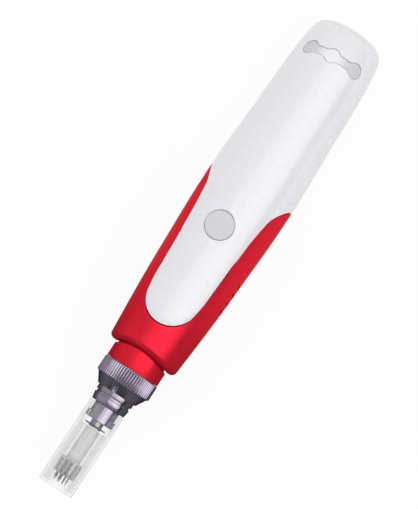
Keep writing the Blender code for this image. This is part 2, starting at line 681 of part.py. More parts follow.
def make_needles(finish):
    """Steel plate with its needles in two circles, each needle a slim cone."""
    plate_end = CARRIER_END_X + NEEDLE_PLATE_THICKNESS
    plate = tube(CARRIER_END_X, plate_end, 0.0, NEEDLE_PLATE_RADIUS)
    array = turned("needle_array", plate, finish, SMALL_SIDES)
    circles = (
        (NEEDLES_IN_OUTER_RING, NEEDLE_OUTER_CIRCLE),
        (NEEDLES_IN_INNER_RING, NEEDLE_OUTER_CIRCLE * NEEDLE_INNER_SHARE),
    )
    shape = bmesh.new()
    root_x = CARRIER_END_X + NEEDLE_PLATE_THICKNESS / 2
    tip_x = CARRIER_END_X - NEEDLE_LENGTH
    for count, circle in circles:
        for angle in even_angles(count):
            middle = ring_point((root_x + tip_x) / 2, circle, angle)
            place = Matrix.Translation(middle) @ Matrix.Rotation(QUARTER, 4, "Y")
            bmesh.ops.create_cone(
                shape, cap_ends=True, segments=6, radius1=NEEDLE_TIP_RADIUS, radius2=NEEDLE_RADIUS,
                depth=root_x - tip_x, matrix=place,
            )
    combine(array, new_piece("needle_cones", shape, finish), "UNION")
    return array


def make_guides(block_finish, bush_finish):
    """Block in the neck's bore with a spring pocket, and the brass bush that the rod runs in."""
    rear_x = NECK_REAR_X - ROD_STROKE - FIT_GAP
    front_x = rear_x - GUIDE_LENGTH
    bush_radius = ROD_RADIUS + BUSH_RUNNING_GAP + BUSH_WALL
    outline = [
        (rear_x, SPRING_POCKET_RADIUS), (rear_x, ROD_DISC_RADIUS + FIT_GAP),
        (front_x, ROD_DISC_RADIUS + FIT_GAP), (front_x, bush_radius + FIT_GAP),
        (SPRING_FLOOR_X, bush_radius + FIT_GAP), (SPRING_FLOOR_X, SPRING_POCKET_RADIUS),
    ]
    turned("guide_block", outline, block_finish, INNER_SIDES)
    bush = tube(front_x, SPRING_FLOOR_X - FIT_GAP, ROD_RADIUS + BUSH_RUNNING_GAP, bush_radius)
    turned("guide_bush", bush, bush_finish, SMALL_SIDES)


def make_return_spring(finish):
    """Open coil between the pocket's floor and the yoke disc."""
    low = SPRING_FLOOR_X + FIT_GAP + SPRING_WIRE_RADIUS
    high = DISC_X - FIT_GAP - SPRING_WIRE_RADIUS
    steps = SPRING_TURNS * 10
    curve = bpy.data.curves.new("return_spring", "CURVE")
    curve.dimensions = "3D"
    curve.bevel_depth = SPRING_WIRE_RADIUS
    curve.bevel_resolution = 1
    curve.use_fill_caps = True
    wire = curve.splines.new("POLY")
    wire.points.add(steps)
    for step in range(steps + 1):
        share = step / steps
        point = ring_point(low + (high - low) * share, SPRING_MEAN_RADIUS, tau * SPRING_TURNS * share)
        wire.points[step].co = (*point, 1.0)
    curve.materials.append(finish)
    spring = bpy.data.objects.new("return_spring", curve)
    spring.parent = PEN_AXIS
    bpy.context.collection.objects.link(spring)
    return spring


def make_drive_rod(rod_finish, pin_finish):
    """Rod with its disc and yoke arm, and the pin that follows the cam's track."""
    tip_x = SEAL_X - SEAL_THICKNESS - FIT_GAP
    rear_x = DISC_X + ROD_DISC_THICKNESS
    outline = [
        (rear_x, 0.0), (rear_x, ROD_DISC_RADIUS), (DISC_X, ROD_DISC_RADIUS), (DISC_X, ROD_RADIUS),
        (tip_x + ROD_TIP_LENGTH, ROD_RADIUS), (tip_x + ROD_TIP_LENGTH, ROD_TIP_RADIUS),
        (tip_x, ROD_TIP_RADIUS), (tip_x, 0.0),
    ]
    rod = turned("drive_rod", outline, rod_finish, INNER_SIDES)
    arm_end = PIN_X + 2 * PIN_RADIUS
    arm = slab(
        "yoke_arm", ((rear_x + arm_end) / 2 - FIT_GAP, 0.0, -(YOKE_ARM_TOP + YOKE_ARM_LOW) / 2),
        (arm_end - rear_x + 2 * FIT_GAP, YOKE_ARM_WIDTH, YOKE_ARM_THICKNESS), rod_finish,
    )
    combine(rod, arm, "UNION")
    upright_rod(
        "follower_pin", PIN_X, -YOKE_ARM_LOW + FIT_GAP, -CAM_HUB_RADIUS - FIT_GAP, PIN_RADIUS,
        pin_finish, SMALL_SIDES,
    )


def make_cam(cam_finish, screw_finish):
    """Barrel cam: a track one stroke wider than the pin on each side, whose middle sways along the axis."""
    flange = YOKE_ARM_LOW - FIT_GAP
    bore = SHAFT_RADIUS + FIT_GAP
    columns = []
    for angle in even_angles(INNER_SIDES):
        middle = PIN_X - ROD_STROKE / 2 * (1 + cos(angle))
        column = [
            (CAM_X, bore), (CAM_X, flange), (middle - TRACK_HALF, flange),
            (middle - TRACK_HALF, CAM_HUB_RADIUS), (middle + TRACK_HALF, CAM_HUB_RADIUS),
            (middle + TRACK_HALF, flange), (CAM_END_X, flange), (CAM_END_X, bore),
        ]
        columns.append([ring_point(x, r, angle) for x, r in column])
    cam = lofted("drive_cam", columns, cam_finish)
    screw_x = CAM_END_X - CAM_FLANGE - ROD_STROKE / 4
    hole = upright_rod(
        "cam_screw_hole_cutter", screw_x, bore / 2, flange + CUT_OVERRUN,
        CAM_SCREW_RADIUS + FIT_GAP, cam_finish, TINY_SIDES,
    )
    combine(cam, hole, "DIFFERENCE")
    upright_rod(
        "cam_screw", screw_x, SHAFT_RADIUS + FIT_GAP, flange - 2 * FIT_GAP, CAM_SCREW_RADIUS,
        screw_finish, TINY_SIDES,
    )


def make_motor(steel, copper, magnet, plastic):
    """Motor: shaft, armature, two magnets, drawn can and end cap."""
    shaft_hole = SHAFT_RADIUS + FIT_GAP
    cap_x = MOTOR_END_X - MOTOR_CAP
    shaft = tube(CAM_X + CAM_FLANGE, cap_x + MOTOR_CAP / 2, 0.0, SHAFT_RADIUS)
    turned("motor_shaft", shaft, steel, SMALL_SIDES)
    can_bore = MOTOR_RADIUS - MOTOR_WALL
    outline = [
        (MOTOR_X, shaft_hole), (MOTOR_X, MOTOR_RADIUS - MOTOR_EDGE),
        (MOTOR_X + MOTOR_EDGE, MOTOR_RADIUS), (MOTOR_END_X, MOTOR_RADIUS), (MOTOR_END_X, can_bore),
        (MOTOR_X + MOTOR_WALL, can_bore), (MOTOR_X + MOTOR_WALL, shaft_hole),
    ]
    turned("motor_can", outline, steel, INNER_SIDES)
    cap = tube(cap_x, MOTOR_END_X, SHAFT_RADIUS + FIT_GAP, can_bore - FIT_GAP)
    turned("motor_end_cap", cap, plastic, INNER_SIDES)
    middle = (MOTOR_X + MOTOR_WALL + cap_x) / 2
    low, high = middle - ARMATURE_LENGTH / 2, middle + ARMATURE_LENGTH / 2
    magnet_outer = can_bore - FIT_GAP
    magnet_bore = magnet_outer - MAGNET_THICKNESS
    turned("motor_armature", tube(low, high, shaft_hole, magnet_bore - AIR_GAP), copper, SMALL_SIDES)
    block = tube(low, high, magnet_bore, magnet_outer)
    for name, side in (("motor_magnet_left", -QUARTER), ("motor_magnet_right", QUARTER)):
        turned(name, block, magnet, SMALL_SIDES, side - MAGNET_SPAN / 2, MAGNET_SPAN)


def make_cam_housing(finish):
    """Tube round the cam that joins the neck to the motor."""
    inner = ROD_DISC_RADIUS + 2 * FIT_GAP
    outline = tube(NECK_REAR_X + FIT_GAP, MOTOR_X - FIT_GAP, inner, inner + CAM_HOUSING_WALL)
    turned("cam_housing", outline, finish, INNER_SIDES)


def make_chassis(finish):
    """Trough under the motor and the battery, with two ribs that bear on the shells."""
    inner = CORE_RADIUS + FIT_GAP
    outer = inner + CHASSIS_WALL
    low = MOTOR_X + CHASSIS_RIB_LENGTH
    high = BATTERY_END_X
    rib_x = BATTERY_X + BATTERY_LENGTH / 3
    tray_outer = min(outer, housing_radius(high) - HOUSING_WALL - FIT_GAP)

    def rib_radius(x):
        return min(housing_radius(x), AXIS_HEIGHT) - HOUSING_WALL - FIT_GAP

    outline = [(low, inner)]
    outline += [(low, rib_radius(low)), (low + CHASSIS_RIB_LENGTH, rib_radius(low))]
    outline += [(low + CHASSIS_RIB_LENGTH, tray_outer), (rib_x, tray_outer)]
    outline += [(rib_x, rib_radius(rib_x)), (rib_x + CHASSIS_RIB_LENGTH, rib_radius(rib_x))]
    outline += [(rib_x + CHASSIS_RIB_LENGTH, tray_outer), (high, tray_outer), (high, inner)]
    start = pi - CHASSIS_SPAN / 2
    turned("chassis_tray", outline, finish, SMALL_SIDES, start, CHASSIS_SPAN)


def make_battery(sleeve_finish, contact_finish):
    """Cell that lies in the trough, and a spring contact plate at each end."""
    tip = BATTERY_END_X + BATTERY_CAP_HEIGHT
    outline = [
        (BATTERY_X, 0.0), (BATTERY_X, BATTERY_RADIUS), (BATTERY_END_X, BATTERY_RADIUS),
        (BATTERY_END_X, BATTERY_CAP_RADIUS), (tip, BATTERY_CAP_RADIUS), (tip, 0.0),
    ]
    turned("battery_cell", outline, sleeve_finish, INNER_SIDES, lift=BATTERY_LIFT)
    for name, x in (("battery_contact_front", FRONT_CONTACT_X), ("battery_contact_rear", REAR_CONTACT_X)):
        plate = tube(x, x + CONTACT_THICKNESS, 0.0, BATTERY_RADIUS - CONTACT_INSET)
        turned(name, plate, contact_finish, SMALL_SIDES, lift=BATTERY_LIFT)


def make_button(finish):
    """Button cap with its short stem; its origin stands on its own line of travel."""
    top = housing_radius(BUTTON_X) + BUTTON_PROUD
    low = top - BUTTON_THICKNESS
    stem_low = switch_top() + BUTTON_TRAVEL + FIT_GAP
    profile = [
        (0.0, top), (BUTTON_RADIUS - BUTTON_EDGE, top), (BUTTON_RADIUS, top - BUTTON_EDGE),
        (BUTTON_RADIUS, low), (BUTTON_STEM_RADIUS, low), (BUTTON_STEM_RADIUS, stem_low),
        (0.0, stem_low),
    ]
    columns = [
        [Vector((r * cos(angle), r * sin(angle), z)) for r, z in profile]
        for angle in even_angles(ROUND_SIDES)
    ]
    shape = bmesh.new()
    rows = [[shape.verts.new(point) for point in column] for column in columns]
    for here, there in zip(rows, rows[1:] + rows[:1]):
        for j in range(len(profile) - 1):
            shape.faces.new((here[j], here[j + 1], there[j + 1], there[j]))
    button = new_piece("button_cap", shape, finish)
    button.location.x = BUTTON_X
    return button


def board_top():
    """Height of the main board's upper face above the pen's axis."""
    return CORE_RADIUS + FIT_GAP + BOARD_THICKNESS


def switch_top():
    """Height of the switch's upper face above the pen's axis."""
    return board_top() + FIT_GAP + SWITCH_HEIGHT


def make_electronics(board_finish, chip_finish, switch_finish, led_finish):
    """Main board with its switch, chip and connector, and the small board with three lights."""
    slab(
        "main_board", (BOARD_X + BOARD_LENGTH / 2, 0.0, board_top() - BOARD_THICKNESS / 2),
        (BOARD_LENGTH, BOARD_WIDTH, BOARD_THICKNESS), board_finish,
    )
    fitted = board_top() + FIT_GAP
    slab(
        "power_switch", (BUTTON_X, 0.0, fitted + SWITCH_HEIGHT / 2),
        (SWITCH_SIDE, SWITCH_SIDE, SWITCH_HEIGHT), switch_finish,
    )
    chip_x = BUTTON_X + SWITCH_SIDE + CHIP_LENGTH
    slab(
        "motor_driver_chip", (chip_x, 0.0, fitted + CHIP_HEIGHT / 2),
        (CHIP_LENGTH, CHIP_WIDTH, CHIP_HEIGHT), chip_finish,
    )
    connector_x = BOARD_X + BOARD_LENGTH - CONNECTOR_LENGTH
    slab(
        "battery_connector", (connector_x, 0.0, fitted + CONNECTOR_HEIGHT / 2),
        (CONNECTOR_LENGTH, CONNECTOR_WIDTH, CONNECTOR_HEIGHT), switch_finish,
    )
    led_board_low = BATTERY_LIFT + BATTERY_RADIUS + FIT_GAP
    led_board_top = led_board_low + LED_BOARD_THICKNESS
    slab(
        "led_board", (INDICATOR_X, 0.0, led_board_low + LED_BOARD_THICKNESS / 2),
        (LED_BOARD_LENGTH, LED_BOARD_WIDTH, LED_BOARD_THICKNESS), board_finish,
    )
    for name, side in (("led_left", 1), ("led_middle", 0), ("led_right", -1)):
        slab(
            name, (INDICATOR_X, side * LED_SPACING, led_board_top + FIT_GAP + LED_HEIGHT / 2),
            (LED_LENGTH, LED_WIDTH, LED_HEIGHT), led_finish,
        )


def make_jack(jack_finish, nut_finish):
    """Charging jack in the tail, with its centre pin, and the nut that clamps it."""
    end = TAIL_X - JACK_RECESS
    start = end - JACK_LENGTH
    floor = start + JACK_FLOOR
    pin_end = end - JACK_FLOOR
    bore = JACK_RADIUS - JACK_WALL
    outline = [
        (start, 0.0), (start, JACK_RADIUS), (end, JACK_RADIUS), (end, bore), (floor, bore),
        (floor, JACK_PIN_RADIUS), (pin_end, JACK_PIN_RADIUS), (pin_end, 0.0),
    ]
    turned("charge_jack", outline, jack_finish, SMALL_SIDES)
    nut_end = TAIL_X - TAIL_WALL - FIT_GAP
    nut_bore = JACK_RADIUS + FIT_GAP
    nut = tube(nut_end - JACK_NUT_LENGTH, nut_end, nut_bore, nut_bore + JACK_NUT_WALL)
    turned("jack_nut", nut, nut_finish, INNER_SIDES)


def clear_scene():
    """Removes whatever the scene holds."""
    for item in list(bpy.data.objects):
        bpy.data.objects.remove(item, do_unlink=True)


clear_scene()
PEN_AXIS = bpy.data.objects.new("pen_axis", None)
PEN_AXIS.location.z = AXIS_HEIGHT
bpy.context.collection.objects.link(PEN_AXIS)

PEARL = material("pearl_white_shell", (0.78, 0.77, 0.80), 0.3)
RED = material("anodised_red", (0.62, 0.02, 0.04), 0.35, 0.6)
GUNMETAL = material("gunmetal", (0.20, 0.18, 0.23), 0.3, 1.0)
CLEAR = material("clear_cartridge", (0.80, 0.82, 0.84), 0.15)
BUTTON_GREY = material("grey_button", (0.60, 0.60, 0.61), 0.45)
WINDOW = material("indicator_window", (0.62, 0.62, 0.65), 0.2)
STEEL = material("steel", (0.55, 0.55, 0.57), 0.35, 1.0)
BRASS = material("brass", (0.60, 0.42, 0.15), 0.35, 1.0)
COPPER = material("copper_winding", (0.55, 0.22, 0.09), 0.4, 1.0)
RUBBER = material("black_rubber", (0.02, 0.02, 0.02), 0.8)
DARK_PLASTIC = material("dark_plastic", (0.05, 0.05, 0.055), 0.55)
PALE_PLASTIC = material("pale_plastic", (0.70, 0.70, 0.68), 0.5)
BATTERY_SLEEVE = material("battery_sleeve", (0.05, 0.16, 0.35), 0.4)
CIRCUIT_BOARD = material("circuit_board", (0.02, 0.16, 0.06), 0.5)

make_tail_shell(PEARL)
make_grip_sleeve(RED)
make_neck(RED)
make_depth_ring(GUNMETAL)
make_nose_tube(GUNMETAL)
make_nose_oring(RUBBER)
make_cartridge(CLEAR)
make_seal(RUBBER)
make_carrier(PALE_PLASTIC)
make_needles(STEEL)
make_button(BUTTON_GREY)
indicator_strip(
    "indicator_lens", 0.0, INDICATOR_RECESS, INDICATOR_RECESS + INDICATOR_THICKNESS, WINDOW,
)
make_guides(DARK_PLASTIC, BRASS)
make_return_spring(STEEL)
make_drive_rod(STEEL, BRASS)
make_cam(PALE_PLASTIC, STEEL)
make_cam_housing(DARK_PLASTIC)
make_motor(STEEL, COPPER, DARK_PLASTIC, DARK_PLASTIC)
make_chassis(DARK_PLASTIC)
make_battery(BATTERY_SLEEVE, STEEL)
make_electronics(CIRCUIT_BOARD, DARK_PLASTIC, DARK_PLASTIC, PALE_PLASTIC)
make_jack(DARK_PLASTIC, STEEL)
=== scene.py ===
from math import cos, pi, radians, sin, tau

import bmesh
import bpy
import numpy as np
from mathutils import Matrix, Vector


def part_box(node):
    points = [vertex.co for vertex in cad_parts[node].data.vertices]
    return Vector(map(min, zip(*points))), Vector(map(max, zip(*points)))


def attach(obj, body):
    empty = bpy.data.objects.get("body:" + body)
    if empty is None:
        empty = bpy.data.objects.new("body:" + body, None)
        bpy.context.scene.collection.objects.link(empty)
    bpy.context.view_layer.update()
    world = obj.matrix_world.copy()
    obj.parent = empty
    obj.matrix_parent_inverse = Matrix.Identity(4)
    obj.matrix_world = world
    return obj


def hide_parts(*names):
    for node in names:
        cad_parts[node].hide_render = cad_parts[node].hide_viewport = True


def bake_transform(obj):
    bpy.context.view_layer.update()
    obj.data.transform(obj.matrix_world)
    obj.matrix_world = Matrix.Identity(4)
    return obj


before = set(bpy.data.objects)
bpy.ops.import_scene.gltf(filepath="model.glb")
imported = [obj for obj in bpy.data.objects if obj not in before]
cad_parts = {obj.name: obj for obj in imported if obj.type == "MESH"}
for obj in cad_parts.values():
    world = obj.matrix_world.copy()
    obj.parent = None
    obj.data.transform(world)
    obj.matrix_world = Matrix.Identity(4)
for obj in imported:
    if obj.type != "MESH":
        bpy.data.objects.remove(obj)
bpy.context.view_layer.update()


# The table of a small photo studio, laid with matt white paper. It shows white to the eye, and a
# faint shadow gathers under the pen. In the gloss of the pen it shows a painted grey glow, with
# painted shade on the right side and towards the nose.
def linear(code):
    """A colour given as sRGB hex, in linear light."""
    channels = [int(code[i:i + 2], 16) / 255 for i in (1, 3, 5)]
    return (*[c / 12.92 if c <= 0.04045 else ((c + 0.055) / 1.055) ** 2.4 for c in channels], 1.0)


def add_node(tree, kind, inputs=None, **settings):
    """Adds a node with its settings, and sets its inputs or links them to other nodes' outputs."""
    node = tree.nodes.new("ShaderNode" + kind)
    for name, value in settings.items():
        setattr(node, name, value)
    for name, value in (inputs or {}).items():
        if isinstance(value, bpy.types.NodeSocket):
            tree.links.new(value, node.inputs[name])
        else:
            node.inputs[name].default_value = value
    return node


def new_material(name):
    """An empty node material, and its tree."""
    material = bpy.data.materials.new(name)
    material.use_nodes = True
    material.node_tree.nodes.clear()
    return material, material.node_tree


def white_view(tree):
    """A light path's node, and 1 for what the eye sees, straight or through clear plastic."""
    path = add_node(tree, "LightPath")
    seen = add_node(
        tree, "Math",
        {0: path.outputs["Is Camera Ray"], 1: path.outputs["Is Transmission Ray"]},
        operation="MAXIMUM",
    )
    return path, seen.outputs[0]


TABLE_SIZE = 6.0
TABLE_DROP = 0.0001
TABLE_WHITE_SHARE = 0.92
bpy.ops.object.select_all(action="DESELECT")
bpy.ops.mesh.primitive_plane_add(size=TABLE_SIZE, location=(0, 0, -TABLE_DROP))
table = bpy.context.object
table.name = "studio_table"
table_paper, tree = new_material("matt_white_paper")
path, seen = white_view(tree)
place = add_node(tree, "TexCoord")
side = add_node(tree, "SeparateXYZ", {0: place.outputs["Object"]})
sideways = add_node(
    tree, "MapRange", {0: side.outputs["Y"], 1: -0.10, 2: 0.05, 3: 0.6, 4: 0.66},
    interpolation_type="SMOOTHSTEP",
)
forward = add_node(
    tree, "MapRange", {0: side.outputs["X"], 1: -0.04, 2: 0.0, 3: 0.25, 4: 1.3},
    interpolation_type="SMOOTHSTEP",
)
# Painted shade: in gloss the table glows grey, darker on the right side and towards the nose.
painted_gloss_shade = add_node(
    tree, "Math", {0: sideways.outputs[0], 1: forward.outputs[0]}, operation="MULTIPLY",
)
level = add_node(
    tree, "Mix", {0: seen, 2: painted_gloss_shade.outputs[0], 3: 1.0}, data_type="FLOAT",
)
shown = add_node(
    tree, "Math", {0: seen, 1: path.outputs["Is Glossy Ray"]}, operation="MAXIMUM",
)
glow_share = add_node(
    tree, "Math", {0: shown.outputs[0], 1: TABLE_WHITE_SHARE}, operation="MULTIPLY",
)
paper = add_node(tree, "BsdfDiffuse", {"Color": linear("#F2F2F2"), "Roughness": 0.9})
glow = add_node(tree, "Emission", {"Color": (1, 1, 1, 1), "Strength": level.outputs[0]})
both = add_node(
    tree, "MixShader", {0: glow_share.outputs[0], 1: paper.outputs[0], 2: glow.outputs[0]},
)
add_node(tree, "OutputMaterial", {"Surface": both.outputs[0]})
table.data.materials.append(table_paper)

# The room is white to the eye. It fills the shadows with soft light, most of it from the left, and
# gloss shows it as a grey tent that darkens low down on the right and beyond the nose, so that the
# metal gets its dark bands.
room = bpy.data.worlds.new("studio_room")
room.use_nodes = True
tree = room.node_tree
tree.nodes.clear()
bpy.context.scene.world = room
path, seen = white_view(tree)
direction = add_node(tree, "TexCoord")
heading = add_node(tree, "SeparateXYZ", {0: direction.outputs["Generated"]})
sideways = add_node(
    tree, "MapRange", {0: heading.outputs["Y"], 1: -0.98, 2: -0.6, 3: 0.04, 4: 0.6},
    interpolation_type="SMOOTHSTEP",
)
forward = add_node(
    tree, "MapRange", {0: heading.outputs["X"], 1: -0.9, 2: -0.25, 3: 0.15, 4: 1.0},
    interpolation_type="SMOOTHSTEP",
)
fill = add_node(tree, "MapRange", {0: heading.outputs["Y"], 1: -1.0, 2: 1.0, 3: 0.5, 4: 1.2})
unseen = add_node(
    tree, "Mix", {0: path.outputs["Is Glossy Ray"], 2: fill.outputs[0], 3: sideways.outputs[0]},
    data_type="FLOAT",
)
tent = add_node(
    tree, "Math", {0: unseen.outputs[0], 1: forward.outputs[0]}, operation="MULTIPLY",
)
level = add_node(tree, "Mix", {0: seen, 2: tent.outputs[0], 3: 1.0}, data_type="FLOAT")
cloth_tint = add_node(
    tree, "Mix", {0: seen, 6: linear("#FCFBFF"), 7: (1, 1, 1, 1)}, data_type="RGBA",
)
air = add_node(tree, "Background", {"Color": cloth_tint.outputs[2], "Strength": level.outputs[0]})
add_node(tree, "OutputWorld", {"Surface": air.outputs[0]})


# Two wide soft lamps under plain white cloth hang over the pen: the stronger one, on the right,
# makes the long highlight, and the weaker one, almost overhead, lights the top. A small one stands
# beyond the nose, on the left, and lights the steps of the metal there.
def soft_lamp(name, place, width, length, power):
    """A cloth-covered lamp that faces the pen."""
    turn = (-Vector(place)).to_track_quat("-Z", "X").to_euler()
    bpy.ops.object.light_add(type="AREA", location=place, rotation=turn)
    lamp = bpy.context.object
    lamp.name = name
    lamp.data.shape = "RECTANGLE"
    lamp.data.size = width
    lamp.data.size_y = length
    lamp.data.energy = power


LAMP_DISTANCE = 0.8
LAMP_LENGTH = 0.62
NOSE_LAMP_PLACE = (-0.62, 0.13, 0.24)
NOSE_LAMP_SIZE = 0.13
NOSE_LAMP_POWER = 0.2
for name, lean, width, power in (
    ("key_lamp", radians(43.5), 0.7, 2.15), ("top_lamp", radians(6), 0.4, 0.75),
):
    soft_lamp(
        name, (0, -sin(lean) * LAMP_DISTANCE, cos(lean) * LAMP_DISTANCE), width, LAMP_LENGTH, power,
    )
soft_lamp("nose_lamp", NOSE_LAMP_PLACE, NOSE_LAMP_SIZE, NOSE_LAMP_SIZE, NOSE_LAMP_POWER)


# The camera stands almost straight over the pen, a little towards its nose and its right side, and
# frames it on the slant that the picture shows.
CARTRIDGE_LOW, CARTRIDGE_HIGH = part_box("cartridge_body")
AXIS_Z = (CARTRIDGE_LOW.z + CARTRIDGE_HIGH.z) / 2
PIXEL = 0.000285
PICTURE_HEIGHT = 509
PIXELS_RIGHT, PIXELS_UP = 3.9, 5.0
SLANT_RIGHT, SLANT_UP = 0.55003, 0.83515
NOSE_LEAN, SIDE_LEAN = radians(2.0), radians(8.5)
CAMERA_DISTANCE = 1.2
SENSOR = 36.0
view_from = Vector((-sin(NOSE_LEAN), -sin(SIDE_LEAN), cos(SIDE_LEAN))).normalized()
along = (Vector((1, 0, 0)) - view_from * view_from.x).normalized()
across = along.cross(view_from)
right = SLANT_RIGHT * along + SLANT_UP * across
up = SLANT_UP * along - SLANT_RIGHT * across
aim = Vector((0, 0, AXIS_Z)) + PIXEL * (PIXELS_RIGHT * right + PIXELS_UP * up)
bpy.ops.object.camera_add()
camera = bpy.context.object
camera.name = "picture_camera"
camera.matrix_world = (
    Matrix.Translation(aim + view_from * CAMERA_DISTANCE)
    @ Matrix((right, up, view_from)).transposed().to_4x4()
)
camera.data.sensor_width = SENSOR
camera.data.lens = SENSOR * CAMERA_DISTANCE / (PICTURE_HEIGHT * PIXEL)
bpy.context.scene.camera = camera
bpy.context.scene.view_settings.view_transform = "Standard"

# White shell: an ABS moulding in pearl lacquer that makes the tail half of the handle. One long
# tongue runs down the front and another down the back, into the red sleeve. It slides on over the
# chassis, and has a hole for the button and a pocket for the lens.
GAP = 0.0003
SHUT_LINE = 0.0003
EDGE_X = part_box("grip_sleeve")[0].x
TAIL_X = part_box("tail_shell")[1].x
HANDLE_LENGTH = TAIL_X - EDGE_X
HANDLE_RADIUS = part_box("tail_shell")[1].y
WALL = 0.0016
TAIL_WALL = 0.0024
OUTLINE = (
    (0.000, 0.810), (0.018, 0.819), (0.113, 0.876), (0.216, 0.927), (0.319, 0.961),
    (0.420, 0.9926), (0.500, 1.000), (0.564, 0.996), (0.605, 0.982), (0.687, 0.950),
    (0.770, 0.926), (0.852, 0.902), (0.893, 0.880), (0.934, 0.842), (0.955, 0.812),
    (0.976, 0.747), (0.989, 0.625), (0.9965, 0.460), (1.000, 0.300),
)
OUTLINE_SHARES, OUTLINE_RADII = np.array(OUTLINE).T
OUTLINE_SLOPES = np.gradient(OUTLINE_RADII, OUTLINE_SHARES)
SEAM_STEPS = 80
turns = [tau * step / (4 * SEAM_STEPS) for step in range(4 * SEAM_STEPS)]
MERGE_DISTANCE = 0.000001


def skin_radius(x):
    """Radius of the handle at a station, on one smooth curve through the outline's points."""
    share = min(max((x - EDGE_X) / HANDLE_LENGTH, 0.0), 1.0)
    i = min(int(np.searchsorted(OUTLINE_SHARES, share, side="right")) - 1, len(OUTLINE) - 2)
    step = OUTLINE_SHARES[i + 1] - OUTLINE_SHARES[i]
    t = (share - OUTLINE_SHARES[i]) / step
    start = OUTLINE_RADII[i] * (1 + 2 * t) + OUTLINE_SLOPES[i] * step * t
    end = OUTLINE_RADII[i + 1] * (3 - 2 * t) - OUTLINE_SLOPES[i + 1] * step * (1 - t)
    return HANDLE_RADIUS * min(float(start * (1 - t) ** 2 + end * t ** 2), 1.0)


def round_point(x, radius, angle):
    """A point at a station, a radius and an angle from the button, towards -Y."""
    return Vector((x, -radius * sin(angle), AXIS_Z + radius * cos(angle)))


def skin_point(x, angle, depth=0.0):
    """A point on the handle's skin, or a depth under it, with the flat on its back cut level."""
    point = round_point(x, skin_radius(x) - depth, angle)
    point.z = max(point.z, depth)
    return point


def seam_line(offset):
    """Where white meets red, as (angle, station) all round, moved towards the tail by an offset."""
    end_angle, side_angle, top_angle = radians(43), radians(45), radians(46.6)
    tip_x, side_length, flare_length, horn_height = EDGE_X + 0.0105, 0.0176, 0.008, 0.0119
    half_width = end_angle * skin_radius(tip_x + horn_height)
    round_x = tip_x + half_width
    flare_x = round_x + side_length + flare_length
    arc = np.linspace(0, pi / 2, 60)
    quarter = [(end_angle * sin(turn), round_x - half_width * cos(turn)) for turn in arc]
    quarter.append((side_angle, round_x + side_length))
    quarter += [
        (pi / 2 - (pi / 2 - top_angle) * cos(turn), flare_x + horn_height * sin(turn))
        for turn in arc
    ]
    angles, places = np.array(quarter).T
    widths = np.diff(angles) * [skin_radius(x) for x in places[1:]]
    run = np.concatenate([[0], np.cumsum(np.hypot(widths, np.diff(places)))])
    even = np.linspace(0, run[-1], SEAM_STEPS + 1)
    quarter = list(zip(np.interp(even, run, angles), np.interp(even, run, places)))
    half = quarter + [(pi - angle, x) for angle, x in reversed(quarter[1:-1])]
    line = half + [(pi + angle, x) for angle, x in half]
    moved = []
    for i, (turn, (angle, x)) in enumerate(zip(turns, line)):
        before, after = line[i - 1], line[(i + 1) % len(line)]
        radius = skin_radius(x)
        width = ((after[0] - before[0] + pi) % tau - pi) * radius
        length = np.hypot(width, after[1] - before[1])
        angle -= offset * (after[1] - before[1]) / length / radius
        moved.append((turn + (angle - turn + pi) % tau - pi, x + offset * width / length))
    return moved


def laid_rings(name, rings, joined=True):
    """A ring is drawn out again and again, and each copy's points are laid in place; the last ring
    is joined to the first, or the two ends are filled."""
    count = len(rings[0])
    bpy.ops.object.select_all(action="DESELECT")
    bpy.ops.mesh.primitive_circle_add(vertices=count, radius=HANDLE_RADIUS)
    piece = bpy.context.object
    piece.name = piece.data.name = name
    bpy.ops.object.mode_set(mode="EDIT")
    loop = list(range(count))
    for number, ring in enumerate([*rings, rings[0]] if joined else rings):
        if number:
            bpy.ops.mesh.extrude_region_move()
        mesh = bmesh.from_edit_mesh(piece.data)
        mesh.verts.index_update()
        mesh.verts.ensure_lookup_table()
        if number:
            loop = [
                next(edge.other_vert(mesh.verts[i]).index for edge in mesh.verts[i].link_edges
                     if edge.other_vert(mesh.verts[i]).select)
                for i in loop
            ]
        for i, point in zip(loop, ring):
            mesh.verts[i].co = point
        bmesh.update_edit_mesh(piece.data)
    if not joined:
        bpy.ops.mesh.edge_face_add()
        mesh = bmesh.from_edit_mesh(piece.data)
        mesh.verts.ensure_lookup_table()
        bpy.ops.mesh.select_all(action="DESELECT")
        for i in range(count):
            mesh.verts[i].select = True
        mesh.select_flush(True)
        bmesh.update_edit_mesh(piece.data)
        bpy.ops.mesh.edge_face_add()
    bpy.ops.mesh.select_all(action="SELECT")
    bpy.ops.mesh.remove_doubles(threshold=MERGE_DISTANCE)
    bpy.ops.mesh.normals_make_consistent(inside=False)
    if bmesh.from_edit_mesh(piece.data).calc_volume(signed=True) < 0:
        bpy.ops.mesh.flip_normals()
    bpy.ops.object.mode_set(mode="OBJECT")
    return piece


def pick(piece):
    """Selects one piece alone and makes it the active one."""
    bpy.ops.object.select_all(action="DESELECT")
    piece.select_set(True)
    bpy.context.view_layer.objects.active = piece


def round_edges(piece, width):
    """Breaks a piece's sharp edges with a small round."""
    pick(piece)
    bevel = piece.modifiers.new("rounded_edges", "BEVEL")
    bevel.width = width
    bevel.segments = 2
    bevel.limit_method = "ANGLE"
    bevel.angle_limit = radians(50)
    bevel.use_clamp_overlap = False
    bpy.ops.object.modifier_apply(modifier=bevel.name)


def combine(piece, tool, operation="DIFFERENCE"):
    """Cuts a piece with another shape, or joins them, and takes the tool away."""
    pick(piece)
    change = piece.modifiers.new(tool.name, "BOOLEAN")
    change.operation = operation
    change.object = tool
    change.solver = "EXACT"
    bpy.ops.object.modifier_apply(modifier=change.name)
    bpy.data.objects.remove(tool, do_unlink=True)


def finish_surface(piece, material, angle=32):
    """Shades a piece smooth but for its edges, and gives it its one material."""
    pick(piece)
    bpy.ops.object.shade_smooth_by_angle(angle=radians(angle))
    piece.data.materials.clear()
    piece.data.materials.append(material)


